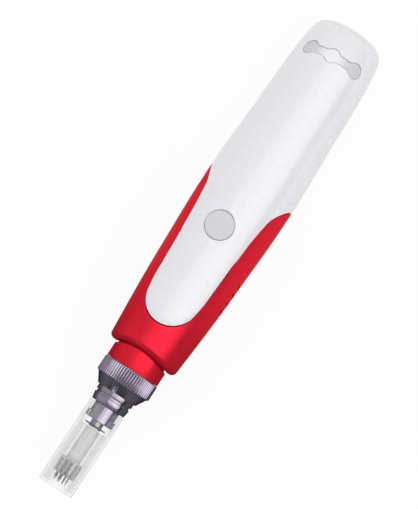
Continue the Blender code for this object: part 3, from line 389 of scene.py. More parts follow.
SEAM_BAND = 0.005
STATION_STEP = 0.0017
BODY_SHARE = 0.93
TAIL_SHARES = (0.940, 0.950, 0.960, 0.969, 0.977, 0.984, 0.9895, 0.9935, 0.9965, 0.9985)
SHELL_ROUND = 0.00014
JACK_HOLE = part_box("charge_jack")[1].y + GAP
seam = seam_line(SHUT_LINE / 2)
first_ring = max(x for angle, x in seam) + SEAM_BAND
shell_stations = [
    *np.arange(first_ring + STATION_STEP, EDGE_X + BODY_SHARE * HANDLE_LENGTH, STATION_STEP),
    *[EDGE_X + share * HANDLE_LENGTH for share in TAIL_SHARES],
]
inner_end = TAIL_X - TAIL_WALL


def band_rings(shares, depth):
    """Rings at a depth, which turn from the seam's line to a plain ring as the share goes to 1."""
    return [
        [skin_point(x + (first_ring - x) * share, angle + (turn - angle) * share, depth)
         for turn, (angle, x) in zip(turns, seam)]
        for share in shares
    ]


rings = band_rings(np.linspace(0, 1, 17), 0.0)
rings += [[skin_point(x, turn) for turn in turns] for x in shell_stations]
rings += [[round_point(x, JACK_HOLE, turn) for turn in turns] for x in (TAIL_X, inner_end)]
corner = skin_radius(inner_end) - TAIL_WALL
rings.append([round_point(inner_end, corner, turn) for turn in turns])
rings += [
    [skin_point(x, turn, WALL) for turn in turns]
    for x in reversed(shell_stations) if x < inner_end - TAIL_WALL
][::3]
rings += band_rings(np.linspace(1, 0, 10), WALL)
shell = laid_rings("pearl_shell", rings)
round_edges(shell, SHELL_ROUND)

BUTTON_LOW, BUTTON_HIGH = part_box("button_cap")
BUTTON_X = (BUTTON_LOW.x + BUTTON_HIGH.x) / 2
BUTTON_RADIUS = (BUTTON_HIGH.x - BUTTON_LOW.x) / 2
BUTTON_GAP = 0.00012
HOLE_LENGTH = 0.006
HOLE_MIDDLE = BUTTON_HIGH.z - 0.0033
HOLE_FLARE_HEIGHT = 0.0006
HOLE_FLARE = 1.12
bpy.ops.object.select_all(action="DESELECT")
bpy.ops.mesh.primitive_cylinder_add(
    vertices=96, radius=BUTTON_RADIUS + BUTTON_GAP, depth=HOLE_LENGTH,
    location=(BUTTON_X, 0, HOLE_MIDDLE),
)
hole = bpy.context.object
hole.name = "button_hole"
bpy.ops.object.mode_set(mode="EDIT")
bpy.ops.mesh.select_all(action="DESELECT")
mesh = bmesh.from_edit_mesh(hole.data)
for face in mesh.faces:
    face.select = face.normal.z > 0.9
bmesh.update_edit_mesh(hole.data)
bpy.ops.mesh.extrude_region_move(TRANSFORM_OT_translate={"value": (0, 0, HOLE_FLARE_HEIGHT)})
bpy.ops.transform.resize(value=(HOLE_FLARE, HOLE_FLARE, 1), center_override=(BUTTON_X, 0, 0))
bpy.ops.object.mode_set(mode="OBJECT")
combine(shell, hole)

LENS_X = TAIL_X - 0.0101
LENS_SPACING = 0.00784
LENS_LOBE = 0.00212
LENS_LOBES = ((-0.00735, 1.15), (0.0, 1.0), (0.0081, 1.15))
LENS_BAR = 0.00118
LENS_BLEND = 5
LENS_ARCH = 0.0005
LENS_SKEW = 0.0005


def lens_strip(name, grow, top, bottom, edge):
    """Three round windows with bars between them, wrapped round the handle between two depths."""
    lobe = LENS_LOBE + grow
    first, last = LENS_LOBES[0][0], LENS_LOBES[-1][0]
    places = {round(centre - lobe * stretch * cos(turn), 7) for centre, stretch in LENS_LOBES
              for turn in np.linspace(0, pi, 33)[1:-1]}
    places |= {round(place, 7) for place in np.linspace(first, last, 41)}
    columns = []
    for place in sorted(places):
        half = max(max(lobe ** 2 - ((place - centre) / stretch) ** 2, 0) ** 0.5
                   for centre, stretch in LENS_LOBES)
        if first < place < last:
            blended = half ** LENS_BLEND + (LENS_BAR + grow) ** LENS_BLEND
            half = min(blended ** (1 / LENS_BLEND), lobe)
        share = place / LENS_SPACING
        middle = LENS_X + LENS_SKEW * share - LENS_ARCH * share ** 2
        angle = place / skin_radius(LENS_X)
        inset = min(edge, half / 2)
        columns.append([
            skin_point(middle - half, angle, bottom), skin_point(middle - half, angle, top + edge),
            skin_point(middle - half + inset, angle, top), skin_point(middle, angle, top),
            skin_point(middle + half - inset, angle, top),
            skin_point(middle + half, angle, top + edge), skin_point(middle + half, angle, bottom),
            skin_point(middle, angle, bottom),
        ])
    return laid_rings(name, columns, joined=False)


pocket = lens_strip("lens_pocket", grow=0.00008, top=-0.0006, bottom=0.0030, edge=0.0001)
combine(shell, pocket)

# Pearl lacquer over white ABS: a soft bright sheen under a thin clear coat, with the slight ripple
# that sprayed lacquer keeps. Its mica is finer than the picture can show, and is drawn at 0.35 mm.
pearl, tree = new_material("pearl_lacquered_abs")
place = add_node(tree, "TexCoord")
mica = add_node(
    tree, "TexNoise",
    {"Vector": place.outputs["Object"], "Scale": 1 / 0.00035, "Detail": 1.0, "Roughness": 0.5},
)
tint = add_node(
    tree, "Mix", {0: mica.outputs["Fac"], 6: linear("#E5E5E6"), 7: linear("#E7E7E8")},
    data_type="RGBA",
)
ripple = add_node(
    tree, "TexNoise", {"Vector": place.outputs["Object"], "Scale": 1 / 0.0016, "Detail": 1.0},
)
gloss = add_node(
    tree, "MapRange", {0: ripple.outputs["Fac"], 1: 0.3, 2: 0.7, 3: 0.27, 4: 0.285},
)
bump = add_node(
    tree, "Bump", {"Height": ripple.outputs["Fac"], "Strength": 0.05, "Distance": 0.00001},
)
shader = add_node(
    tree, "BsdfPrincipled",
    {"Base Color": tint.outputs[2], "Roughness": gloss.outputs[0], "IOR": 1.5,
     "Coat Weight": 0.9, "Coat Roughness": 0.12, "Normal": bump.outputs[0]},
)
add_node(tree, "OutputMaterial", {"Surface": shader.outputs[0]})
finish_surface(shell, pearl)
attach(shell, "housing")
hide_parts("tail_shell")

# Red grip sleeve: a turned aluminium tube, rolled in at its lower edge, which arches up at the
# front and back. It ends in two horns beside the white tongues, and four slanted grooves on each
# side stop the fingers from slipping.
ARCH = 0.00185
EDGE_ROUND = 0.0017
SLEEVE_FLOOR = 0.002
NECK_RADIUS = 0.00846
SLEEVE_BORE = NECK_RADIUS + GAP
sleeve_floor_x = EDGE_X + ARCH + SLEEVE_FLOOR
seam = seam_line(-SHUT_LINE / 2)
low_edge = [EDGE_X + ARCH * cos(turn) ** 2 for turn in turns]
rings = [
    [round_point(sleeve_floor_x, SLEEVE_BORE, turn) for turn in turns],
    [round_point(low, SLEEVE_BORE, turn) for turn, low in zip(turns, low_edge)],
]
for bend in np.linspace(0, pi / 2, 9):
    ring = []
    for turn, low in zip(turns, low_edge):
        corner = skin_radius(low + EDGE_ROUND) - EDGE_ROUND
        ring.append(round_point(
            low + EDGE_ROUND * (1 - cos(bend)), corner + EDGE_ROUND * sin(bend), turn,
        ))
    rings.append(ring)
for depth, shares in ((0.0, np.linspace(0, 1, 21)[1:]), (WALL, np.linspace(1, 0, 12))):
    for share in shares:
        ring = []
        for turn, low, (angle, x) in zip(turns, low_edge, seam):
            start = low + EDGE_ROUND if depth == 0.0 else sleeve_floor_x
            ring.append(
                skin_point(start + (x - start) * share, turn + (angle - turn) * share, depth),
            )
        rings.append(ring)
sleeve = laid_rings("red_grip_sleeve", rings)
round_edges(sleeve, SHELL_ROUND)

GROOVES = 4
GROOVE_PITCH = 0.0029
GROOVE_WIDTH = 0.0008
GROOVE_DEPTH = 0.0009
GROOVE_LENGTH = 0.0056
GROOVE_ROUND = 0.00018
GROOVE_SLANT = radians(24)
GROOVE_FIRST = 0.0222


def straight_bar(name, centre, size):
    """A bar to cut with, left in edit mode and selected all over."""
    bpy.ops.object.select_all(action="DESELECT")
    bpy.ops.mesh.primitive_cube_add(size=1, location=centre)
    piece = bpy.context.object
    piece.name = name
    bpy.ops.object.mode_set(mode="EDIT")
    bpy.ops.mesh.select_all(action="SELECT")
    bpy.ops.transform.resize(value=size, center_override=centre)
    return piece


for side in (-1, 1):
    for number in range(GROOVES):
        x = EDGE_X + GROOVE_FIRST + number * GROOVE_PITCH
        centre = (x, side * skin_radius(x), AXIS_Z)
        bar = straight_bar("groove_bar", centre, (GROOVE_WIDTH, 2 * GROOVE_DEPTH, GROOVE_LENGTH))
        bpy.ops.mesh.bevel(offset=GROOVE_ROUND, segments=2, affect="EDGES")
        bpy.ops.transform.rotate(value=side * GROOVE_SLANT, orient_axis="Y", center_override=centre)
        bpy.ops.object.mode_set(mode="OBJECT")
        combine(sleeve, bar)

# Red anodised aluminium: bead blasted before dyeing, so the metal gleams softly through the colour
# and the highlight is broad. The blasted grain is drawn at 0.22 mm, or it wouldn't show.
red_metal, tree = new_material("red_anodised_aluminium")
place = add_node(tree, "TexCoord")
grain = add_node(
    tree, "TexNoise",
    {"Vector": place.outputs["Object"], "Scale": 1 / 0.00022, "Detail": 3.0, "Roughness": 0.6},
)
tint = add_node(
    tree, "Mix", {0: grain.outputs["Fac"], 6: linear("#EA2538"), 7: linear("#F52E44")},
    data_type="RGBA",
)
gloss = add_node(tree, "MapRange", {0: grain.outputs["Fac"], 1: 0.3, 2: 0.7, 3: 0.38, 4: 0.44})
bump = add_node(
    tree, "Bump", {"Height": grain.outputs["Fac"], "Strength": 0.3, "Distance": 0.000006},
)
shader = add_node(
    tree, "BsdfPrincipled",
    {"Base Color": tint.outputs[2], "Metallic": 0.72, "Roughness": gloss.outputs[0],
     "Specular IOR Level": 0.3, "Specular Tint": linear("#A81C28"), "Normal": bump.outputs[0]},
)
add_node(tree, "OutputMaterial", {"Surface": shader.outputs[0]})
finish_surface(sleeve, red_metal)
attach(sleeve, "housing")
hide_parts("grip_sleeve")


# Red neck: turned from the same aluminium. Its flange hides in the sleeve, and its long spigot
# carries the depth ring. A dark trench is cut round it under the sleeve's edge, and a fine line is
# scribed down its front for reading the ring.
def turned(name, outline, sides, solid=False):
    """A ring on the pen's axis, drawn out from station to station and sized at each; the outline is
    closed, unless the piece is solid and its ends are filled."""
    x, radius = outline[0]
    bpy.ops.object.select_all(action="DESELECT")
    bpy.ops.mesh.primitive_circle_add(
        vertices=sides, radius=radius, fill_type="NGON" if solid else "NOTHING",
        location=(x, 0, AXIS_Z), rotation=(0, pi / 2, 0),
    )
    piece = bpy.context.object
    piece.name = piece.data.name = name
    bpy.ops.object.transform_apply()
    bpy.ops.object.mode_set(mode="EDIT")
    bpy.ops.mesh.select_all(action="SELECT")
    stops = outline if solid else [*outline, outline[0]]
    for (x, radius), (next_x, next_radius) in zip(stops, stops[1:]):
        size = next_radius / radius
        bpy.ops.mesh.extrude_region_move(TRANSFORM_OT_translate={"value": (next_x - x, 0, 0)})
        bpy.ops.transform.resize(value=(1, size, size), center_override=(next_x, 0, AXIS_Z))
    bpy.ops.mesh.select_all(action="SELECT")
    bpy.ops.mesh.remove_doubles(threshold=MERGE_DISTANCE)
    bpy.ops.mesh.normals_make_consistent(inside=False)
    bpy.ops.object.mode_set(mode="OBJECT")
    return piece


neck_low, neck_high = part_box("neck_barrel")
ring_low, ring_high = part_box("depth_ring")
guide_low, guide_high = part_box("guide_block")
SPIGOT_RADIUS = 0.0073
COLLAR_RADIUS = 0.0058
RING_CLEARANCE = 0.00008
TURNED_ROUND = 0.00012
TRENCH_TOP = NECK_RADIUS + 0.0006
TRENCH_FLOOR = 0.0077
TRENCH_SLOPE = 0.0004
TRENCH_WIDTH = 0.0007
TRENCH_REACH = 0.0015
INDEX_WIDTH = 0.00022
INDEX_DEPTH = 0.0001
INDEX_OVERRUN = 0.0002
flange_x = sleeve_floor_x + GAP
neck_end_x = ring_high.x + RING_CLEARANCE
guide_x = guide_low.x - GAP
guide_bore = guide_high.y + GAP
neck = turned(
    "red_neck",
    [
        (neck_high.x, guide_bore), (guide_x, guide_bore), (guide_x, COLLAR_RADIUS + GAP),
        (neck_low.x, COLLAR_RADIUS + GAP), (neck_low.x, SPIGOT_RADIUS),
        (neck_end_x, SPIGOT_RADIUS), (neck_end_x, NECK_RADIUS), (flange_x, NECK_RADIUS),
        (flange_x, neck_high.y), (neck_high.x, neck_high.y),
    ],
    128,
)
round_edges(neck, TURNED_ROUND)
trench = laid_rings(
    "shadow_trench",
    [
        [round_point(low + step, radius, turn) for turn, low in zip(turns, low_edge)]
        for step, radius in (
            (-TRENCH_WIDTH, TRENCH_TOP), (-TRENCH_WIDTH, TRENCH_FLOOR + TRENCH_SLOPE),
            (0, TRENCH_FLOOR), (TRENCH_REACH, TRENCH_FLOOR), (TRENCH_REACH, TRENCH_TOP),
        )
    ],
)
combine(neck, trench)
index_line = straight_bar(
    "index_line", ((neck_end_x + flange_x) / 2, 0, AXIS_Z + NECK_RADIUS),
    (flange_x - neck_end_x + INDEX_OVERRUN, INDEX_WIDTH, 2 * INDEX_DEPTH),
)
bpy.ops.object.mode_set(mode="OBJECT")
combine(neck, index_line)
finish_surface(neck, red_metal)
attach(neck, "housing")
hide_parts("neck_barrel")

# Depth ring: brass, knurled with straight ribs, and plated in dark chrome. It turns on the neck's
# spigot, and a thread inside carries the nose tube in and out.
RIBS = 62
RIB_DEPTH = 0.0004
RIB_SHAPE = (0.0, 0.2, 0.7, 1.0, 0.7, 0.2)
RING_RADIUS = ring_high.y
RING_END_X = ring_low.x
RING_CHAMFER = 0.0004
RING_SHOULDER = RING_RADIUS - 0.00008
RING_TOP_EDGE = NECK_RADIUS - 0.00004
RING_END_EDGE = 0.0001
TAPER_LENGTH = 0.003
knurl_end = RING_END_X + TAPER_LENGTH
counterbore_x = neck_low.x - GAP
ring_end_radius = COLLAR_RADIUS + GAP + 0.00017
rib_steps = RIBS * len(RIB_SHAPE)
rings = []
for x, radius, cut in (
    (counterbore_x, SPIGOT_RADIUS + GAP, 0), (ring_high.x, SPIGOT_RADIUS + GAP, 0),
    (ring_high.x, RING_TOP_EDGE, 0), (ring_high.x - RING_CHAMFER / 2, RING_SHOULDER, 0.5),
    (ring_high.x - RING_CHAMFER, RING_RADIUS, 1), (knurl_end + RING_CHAMFER, RING_RADIUS, 1),
    (knurl_end + RING_CHAMFER / 2, RING_RADIUS - RIB_DEPTH / 2, 0.4),
    (knurl_end, RING_RADIUS - RIB_DEPTH - RING_CHAMFER / 2, 0),
    (RING_END_X + RING_END_EDGE, ring_end_radius + RING_END_EDGE, 0),
    (RING_END_X, ring_end_radius, 0), (RING_END_X, COLLAR_RADIUS + GAP, 0),
    (counterbore_x, COLLAR_RADIUS + GAP, 0),
):
    rings.append([
        round_point(
            x, radius - RIB_DEPTH * cut * RIB_SHAPE[step % len(RIB_SHAPE)], tau * step / rib_steps,
        )
        for step in range(rib_steps)
    ])
ring_piece = laid_rings("knurled_depth_ring", rings)


# Dark chrome: polished brass under a purplish gunmetal plate, which mirrors the lamps in hard
# streaks. The tool's marks round it are too fine to show, and are drawn 1.1 mm apart.
def turned_metal(name, dark, pale, edge, low, high, mark_depth):
    """A plated metal with turning marks round the pen's axis."""
    material, tree = new_material(name)
    place = add_node(tree, "TexCoord")
    marks = add_node(
        tree, "TexWave",
        {"Vector": place.outputs["Object"], "Scale": 1 / 0.0011, "Distortion": 1.5, "Detail": 2.0,
         "Detail Scale": 2.0},
        wave_type="BANDS", bands_direction="X", wave_profile="SIN",
    )
    cloud = add_node(
        tree, "TexNoise", {"Vector": place.outputs["Object"], "Scale": 1 / 0.0022, "Detail": 3.0},
    )
    tint = add_node(
        tree, "Mix", {0: cloud.outputs["Fac"], 6: linear(dark), 7: linear(pale)}, data_type="RGBA",
    )
    gloss = add_node(tree, "MapRange", {0: cloud.outputs["Fac"], 1: 0.3, 2: 0.7, 3: low, 4: high})
    bump = add_node(
        tree, "Bump", {"Height": marks.outputs["Fac"], "Strength": 0.2, "Distance": mark_depth},
    )
    shader = add_node(
        tree, "BsdfPrincipled",
        {"Base Color": tint.outputs[2], "Metallic": 1.0, "Roughness": gloss.outputs[0],
         "Specular Tint": linear(edge), "Normal": bump.outputs[0]},
    )
    add_node(tree, "OutputMaterial", {"Surface": shader.outputs[0]})
    return material


gunmetal = turned_metal("dark_chrome_plate", "#9C92A2", "#B0A7B6", "#857C8B", 0.16, 0.22, 0.000003)
finish_surface(ring_piece, gunmetal, 55)
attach(ring_piece, "ring")
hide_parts("depth_ring")

# Nose tube: the plated collar that shows below the ring, with a groove and a raised dot that line
# up the cartridge, and inside the cartridge a slim stub with two bayonet lugs. The rings of points
# near the stub's ends lie on its straight side, and keep its shading straight.
nose_low, nose_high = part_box("nose_tube")
COLLAR_LENGTH = 0.00456
COLLAR_END_X = RING_END_X - COLLAR_LENGTH
COLLAR_END_RADIUS = 0.00533
COLLAR_TAPER_RADIUS = COLLAR_RADIUS - 0.0001
COLLAR_GROOVE_X = RING_END_X - 0.4 * COLLAR_LENGTH
COLLAR_GROOVE_HALF = 0.0004
COLLAR_GROOVE_FLOOR = COLLAR_RADIUS - 0.0005
STUB_X = nose_low.x
STUB_RADIUS = 0.0039
STUB_WALL = 0.001
STUB_RING = 0.0003
NOSE_BORE = STUB_RADIUS - STUB_WALL
ORING_X = RING_END_X + 0.003
ORING_HALF = 0.0007
ORING_FLOOR = COLLAR_RADIUS - 0.0011
groove_top = COLLAR_GROOVE_X + COLLAR_GROOVE_HALF
groove_end = COLLAR_GROOVE_X - COLLAR_GROOVE_HALF
nose = turned(
    "nose_tube_with_lugs",
    [
        (nose_high.x, NOSE_BORE), (nose_high.x, COLLAR_RADIUS),
        (ORING_X + ORING_HALF, COLLAR_RADIUS), (ORING_X + ORING_HALF, ORING_FLOOR),
        (ORING_X - ORING_HALF, ORING_FLOOR), (ORING_X - ORING_HALF, COLLAR_RADIUS),
        (groove_top, COLLAR_RADIUS), (groove_top, COLLAR_GROOVE_FLOOR),
        (groove_end, COLLAR_GROOVE_FLOOR), (groove_end, COLLAR_TAPER_RADIUS),
        (COLLAR_END_X, COLLAR_END_RADIUS), (COLLAR_END_X, STUB_RADIUS),
        (COLLAR_END_X - STUB_RING, STUB_RADIUS), (STUB_X + STUB_RING, STUB_RADIUS),
        (STUB_X, STUB_RADIUS), (STUB_X, NOSE_BORE),
    ],
    128,
)
round_edges(nose, TURNED_ROUND)
LUG_RADIUS = 0.00442
LUG_LENGTH = 0.002
LUG_SPAN = radians(70)


def curved_block(name, stations, radii, middle, span, steps):
    """A block between two stations and two radii, wrapped round the axis over a span."""
    (low, high), (floor, top) = stations, radii
    corners = ((low, floor), (low, top), (high, top), (high, floor))
    return laid_rings(
        name,
        [[round_point(x, radius, middle + span * share) for x, radius in corners]
         for share in np.linspace(-0.5, 0.5, steps)],
        joined=False,
    )


for number, middle in enumerate((pi / 2, 3 * pi / 2)):
    lug = curved_block(
        f"bayonet_lug_{number}", (STUB_X, STUB_X + LUG_LENGTH), (STUB_RADIUS - GAP, LUG_RADIUS),
        middle, LUG_SPAN, 25,
    )
    round_edges(lug, TURNED_ROUND)
    combine(nose, lug, "UNION")
DOT_RADIUS = 0.00045
DOT_FLATNESS = 0.45
dot_centre = (RING_END_X - 0.68 * COLLAR_LENGTH, 0, AXIS_Z + 0.00542)
bpy.ops.object.select_all(action="DESELECT")
bpy.ops.mesh.primitive_uv_sphere_add(
    segments=32, ring_count=16, radius=DOT_RADIUS, location=dot_centre,
)
dot = bpy.context.object
dot.name = "alignment_dot"
bpy.ops.object.mode_set(mode="EDIT")
bpy.ops.mesh.select_all(action="SELECT")
bpy.ops.transform.resize(value=(1, 1, DOT_FLATNESS), center_override=dot_centre)
bpy.ops.object.mode_set(mode="OBJECT")
combine(nose, dot, "UNION")
finish_surface(nose, gunmetal)
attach(nose, "nose")
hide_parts("nose_tube")

# Needle cartridge: moulded in one from clear polycarbonate. Two tabs inside its skirt turn behind
# the lugs, and an inner barrel, joined to the skirt at the flat tip, guides the needles.
carrier_low, carrier_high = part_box("needle_carrier")
TIP_X = CARTRIDGE_LOW.x
TIP_ROUND = ((0.0005, 0.0), (0.00025, 0.00007), (0.00007, 0.00025), (0.0, 0.0005))
SKIRT_TOP_X = CARTRIDGE_HIGH.x
SKIRT_RADIUS = CARTRIDGE_HIGH.y
SKIRT_WALL = 0.0008
SKIRT_BORE = SKIRT_RADIUS - SKIRT_WALL
BARREL_BORE = 0.0036
BARREL_RADIUS = 0.0042
BARREL_TOP_X = carrier_high.x
MOULDED_ROUND = 0.0001
cartridge = turned(
    "clear_cartridge",
    [
        (SKIRT_TOP_X, SKIRT_BORE), (SKIRT_TOP_X, SKIRT_RADIUS),
        *[(TIP_X + back, SKIRT_RADIUS - inset) for back, inset in TIP_ROUND],
        (TIP_X, BARREL_BORE), (BARREL_TOP_X, BARREL_BORE), (BARREL_TOP_X, BARREL_RADIUS),
        (TIP_X + SKIRT_WALL, BARREL_RADIUS), (TIP_X + SKIRT_WALL, SKIRT_BORE),
    ],
    96,
)
round_edges(cartridge, MOULDED_ROUND)
TAB_X = COLLAR_END_X - 0.00075
TAB_LENGTH = 0.0018
TAB_SPAN = radians(60)
for number, middle in enumerate((0.0, pi)):
    tab = curved_block(
        f"bayonet_tab_{number}", (TAB_X - TAB_LENGTH, TAB_X), (STUB_RADIUS + GAP, SKIRT_BORE + GAP),
        middle, TAB_SPAN, 17,
    )
    combine(cartridge, tab, "UNION")

# Clear polycarbonate: straight from a polished mould. The walls are thin, so what lies behind them
# shows unbent, under a breath of grey that thickens where a wall is seen edge on.
clear, tree = new_material("clear_polycarbonate")
place = add_node(tree, "TexCoord")
flow = add_node(
    tree, "TexNoise", {"Vector": place.outputs["Object"], "Scale": 1 / 0.003, "Detail": 1.0},
)
tint = add_node(
    tree, "Mix", {0: flow.outputs["Fac"], 6: linear("#F0F0F1"), 7: linear("#F8F8F8")},
    data_type="RGBA",
)
tilt = add_node(tree, "LayerWeight", {"Blend": 0.4})
body = add_node(
    tree, "MapRange", {0: tilt.outputs["Facing"], 1: 0.0, 2: 1.0, 3: 0.018, 4: 0.34},
)
plastic = add_node(
    tree, "BsdfPrincipled",
    {"Base Color": tint.outputs[2], "Roughness": 0.14, "IOR": 1.58, "Coat Weight": 0.5,
     "Coat Roughness": 0.05},
)
opening = add_node(tree, "BsdfTransparent", {"Color": (1, 1, 1, 1)})
shader = add_node(
    tree, "MixShader", {0: body.outputs[0], 1: opening.outputs[0], 2: plastic.outputs[0]},
)
add_node(tree, "OutputMaterial", {"Surface": shader.outputs[0]})
finish_surface(cartridge, clear)
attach(cartridge, "cartridge")
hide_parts("cartridge_body")

# Cartridge seal: a flat ring between the stub and the barrel, which keeps fluid out of the pen. It
# is moulded from grey silicone, which is matt and faintly dusty.
seal_low, seal_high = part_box("cartridge_seal")
SEAL_BORE = 0.0025
SEAL_EDGE = 0.0001
seal = turned(
    "silicone_seal",
    [
        (seal_low.x, SEAL_BORE), (seal_low.x + SEAL_EDGE, seal_high.y - SEAL_EDGE),
        ((seal_low.x + seal_high.x) / 2, seal_high.y),
        (seal_high.x - SEAL_EDGE, seal_high.y - SEAL_EDGE), (seal_high.x, SEAL_BORE),
    ],
    96,
)
rubber, tree = new_material("grey_silicone_rubber")
place = add_node(tree, "TexCoord")
dust = add_node(
    tree, "TexNoise", {"Vector": place.outputs["Object"], "Scale": 1 / 0.0004, "Detail": 3.0},
)
tint = add_node(
    tree, "Mix", {0: dust.outputs["Fac"], 6: linear("#5A5A5C"), 7: linear("#6A6A6C")},
    data_type="RGBA",
)
bump = add_node(
    tree, "Bump", {"Height": dust.outputs["Fac"], "Strength": 0.3, "Distance": 0.00001},
)
shader = add_node(
    tree, "BsdfPrincipled",
    {"Base Color": tint.outputs[2], "Roughness": 0.62, "Normal": bump.outputs[0]},
)
add_node(tree, "OutputMaterial", {"Surface": shader.outputs[0]})
finish_surface(seal, rubber)
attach(seal, "seal")
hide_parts("cartridge_seal")

# Needle carrier: a plunger moulded from polypropylene, which is milky and lets light through. The
# drive rod pushes its stem, and the fluted block at its end holds the needles.
needles_low, needles_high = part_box("needle_array")
STEM_RADIUS = 0.0022
BLOCK_RADIUS = carrier_high.y
BLOCK_X = carrier_low.x + 0.0049
PLATE_RADIUS = needles_high.y
PLATE_RECESS = 0.0008
carrier = turned(
    "needle_carrier_block",
    [
        (carrier_high.x, STEM_RADIUS), (BLOCK_X, STEM_RADIUS), (BLOCK_X, BLOCK_RADIUS),
        (carrier_low.x, BLOCK_RADIUS), (carrier_low.x, PLATE_RADIUS + GAP),
        (carrier_low.x + PLATE_RECESS, PLATE_RADIUS + GAP),
    ],
    72, solid=True,
)
round_edges(carrier, TURNED_ROUND)
FLUTES = 12
FLUTE_RADIUS = 0.00044
FLUTE_LENGTH = 0.006
FLUTE_CIRCLE = BLOCK_RADIUS + 0.00008
for number in range(FLUTES):
    turn = tau * (number + 0.5) / FLUTES
    bpy.ops.object.select_all(action="DESELECT")
    bpy.ops.mesh.primitive_cylinder_add(
        vertices=16, radius=FLUTE_RADIUS, depth=FLUTE_LENGTH, rotation=(0, pi / 2, 0),
        location=round_point((BLOCK_X + carrier_low.x) / 2, FLUTE_CIRCLE, turn),
    )
    flute = bpy.context.object
    flute.name = "flute_cutter"
    combine(carrier, flute)
milky, tree = new_material("milky_polypropylene")
place = add_node(tree, "TexCoord")
cloud = add_node(
    tree, "TexNoise", {"Vector": place.outputs["Object"], "Scale": 1 / 0.0009, "Detail": 2.0},
)
tint = add_node(
    tree, "Mix", {0: cloud.outputs["Fac"], 6: linear("#EEEEEC"), 7: linear("#F6F6F4")},
    data_type="RGBA",
)
gloss = add_node(tree, "MapRange", {0: cloud.outputs["Fac"], 1: 0.3, 2: 0.7, 3: 0.3, 4: 0.42})
shader = add_node(
    tree, "BsdfPrincipled",
    {"Base Color": tint.outputs[2], "Roughness": gloss.outputs[0], "IOR": 1.49,
     "Transmission Weight": 0.7},
)
add_node(tree, "OutputMaterial", {"Surface": shader.outputs[0]})
finish_surface(carrier, milky)
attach(carrier, "carrier")
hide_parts("needle_carrier")

# Needles: stainless wire, ground to bright long points and set in a steel plate, nine in a ring
# round three. Their shanks lie in the twelve flutes of the block.
NEEDLE_RADIUS = 0.00022
NEEDLE_POINT = 0.00002
NEEDLE_CIRCLE = PLATE_RADIUS - 0.0006
PLATE_THICKNESS = 0.0005
PLATE_ROUND = 0.00008
needles = turned(
    "needle_plate",
    [(needles_high.x, PLATE_RADIUS), (needles_high.x - PLATE_THICKNESS, PLATE_RADIUS)],
    48, solid=True,
)
round_edges(needles, PLATE_ROUND)
for count, circle in ((9, NEEDLE_CIRCLE), (3, 0.45 * NEEDLE_CIRCLE)):
    for number in range(count):
        turn = tau * number / count
        root = round_point(needles_high.x - PLATE_THICKNESS / 2, circle, turn)
        length = root.x - needles_low.x
        bpy.ops.object.select_all(action="DESELECT")
        bpy.ops.mesh.primitive_cone_add(
            vertices=16, radius1=NEEDLE_RADIUS, radius2=NEEDLE_POINT, depth=length * 0.5,
            location=root - Vector((length * 0.75, 0, 0)), rotation=(0, -pi / 2, 0),
        )
        needle = bpy.context.object
        needle.name = "needle_cutting_blank"
        bpy.ops.object.mode_set(mode="EDIT")
        bpy.ops.mesh.select_all(action="DESELECT")
        mesh = bmesh.from_edit_mesh(needle.data)
        for face in mesh.faces:
            face.select = face.normal.z < -0.9
        bmesh.update_edit_mesh(needle.data)
        bpy.ops.mesh.extrude_region_move(TRANSFORM_OT_translate={"value": (length * 0.5, 0, 0)})
        bpy.ops.object.mode_set(mode="OBJECT")
        combine(needles, needle, "UNION")
SHANK_RADIUS = 0.0003
SHANK_CIRCLE = BLOCK_RADIUS - 0.0002
SHANK_LOW, SHANK_HIGH = carrier_low.x + GAP, BLOCK_X - 2 * GAP
for number in range(FLUTES):
    turn = tau * (number + 0.5) / FLUTES
    bpy.ops.object.select_all(action="DESELECT")
    bpy.ops.mesh.primitive_cylinder_add(
        vertices=12, radius=SHANK_RADIUS, depth=SHANK_HIGH - SHANK_LOW,
        location=round_point((SHANK_LOW + SHANK_HIGH) / 2, SHANK_CIRCLE, turn),
        rotation=(0, pi / 2, 0),
    )
    shank = bpy.context.object
    shank.name = "needle_shank"
    combine(needles, shank, "UNION")
steel = turned_metal("stainless_steel", "#94948E", "#AAAAA4", "#7C7C76", 0.24, 0.34, 0.000004)
finish_surface(needles, steel)
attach(needles, "carrier")
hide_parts("needle_array")

# Power button: a round ABS cap, all but flush with the shell, with a short stem that reaches the
# switch. Its soft-touch grey coating is matt, with a fine even grain.
BUTTON_STEM = 0.0015
CAP_THICKNESS = 0.0018
CAP_EDGE = (
    (CAP_THICKNESS, 0.0), (0.0004, 0.0), (0.00018, 0.00007), (0.00005, 0.0002), (0.0, 0.00042),
)
CAP_DISH = ((0.00003, 0.6), (0.00006, 0.2))
button_outline = [
    (BUTTON_HIGH.z - CAP_THICKNESS, BUTTON_STEM),
    *[(BUTTON_HIGH.z - drop, BUTTON_RADIUS - inset) for drop, inset in CAP_EDGE],
    *[(BUTTON_HIGH.z - drop, BUTTON_RADIUS * share) for drop, share in CAP_DISH],
]
bpy.ops.object.select_all(action="DESELECT")
bpy.ops.mesh.primitive_circle_add(
    vertices=96, radius=BUTTON_STEM, fill_type="NGON", location=(BUTTON_X, 0, BUTTON_LOW.z),
)
button = bpy.context.object
button.name = button.data.name = "power_button"
bpy.ops.object.transform_apply()
bpy.ops.object.mode_set(mode="EDIT")
bpy.ops.mesh.select_all(action="SELECT")
z, radius = BUTTON_LOW.z, BUTTON_STEM
for next_z, next_radius in button_outline:
    size = next_radius / radius
    bpy.ops.mesh.extrude_region_move(TRANSFORM_OT_translate={"value": (0, 0, next_z - z)})
    bpy.ops.transform.resize(value=(size, size, 1), center_override=(BUTTON_X, 0, next_z))
    z, radius = next_z, next_radius
bpy.ops.mesh.select_all(action="SELECT")
bpy.ops.mesh.normals_make_consistent(inside=False)
bpy.ops.object.mode_set(mode="OBJECT")
soft_grey, tree = new_material("soft_touch_grey_abs")
place = add_node(tree, "TexCoord")
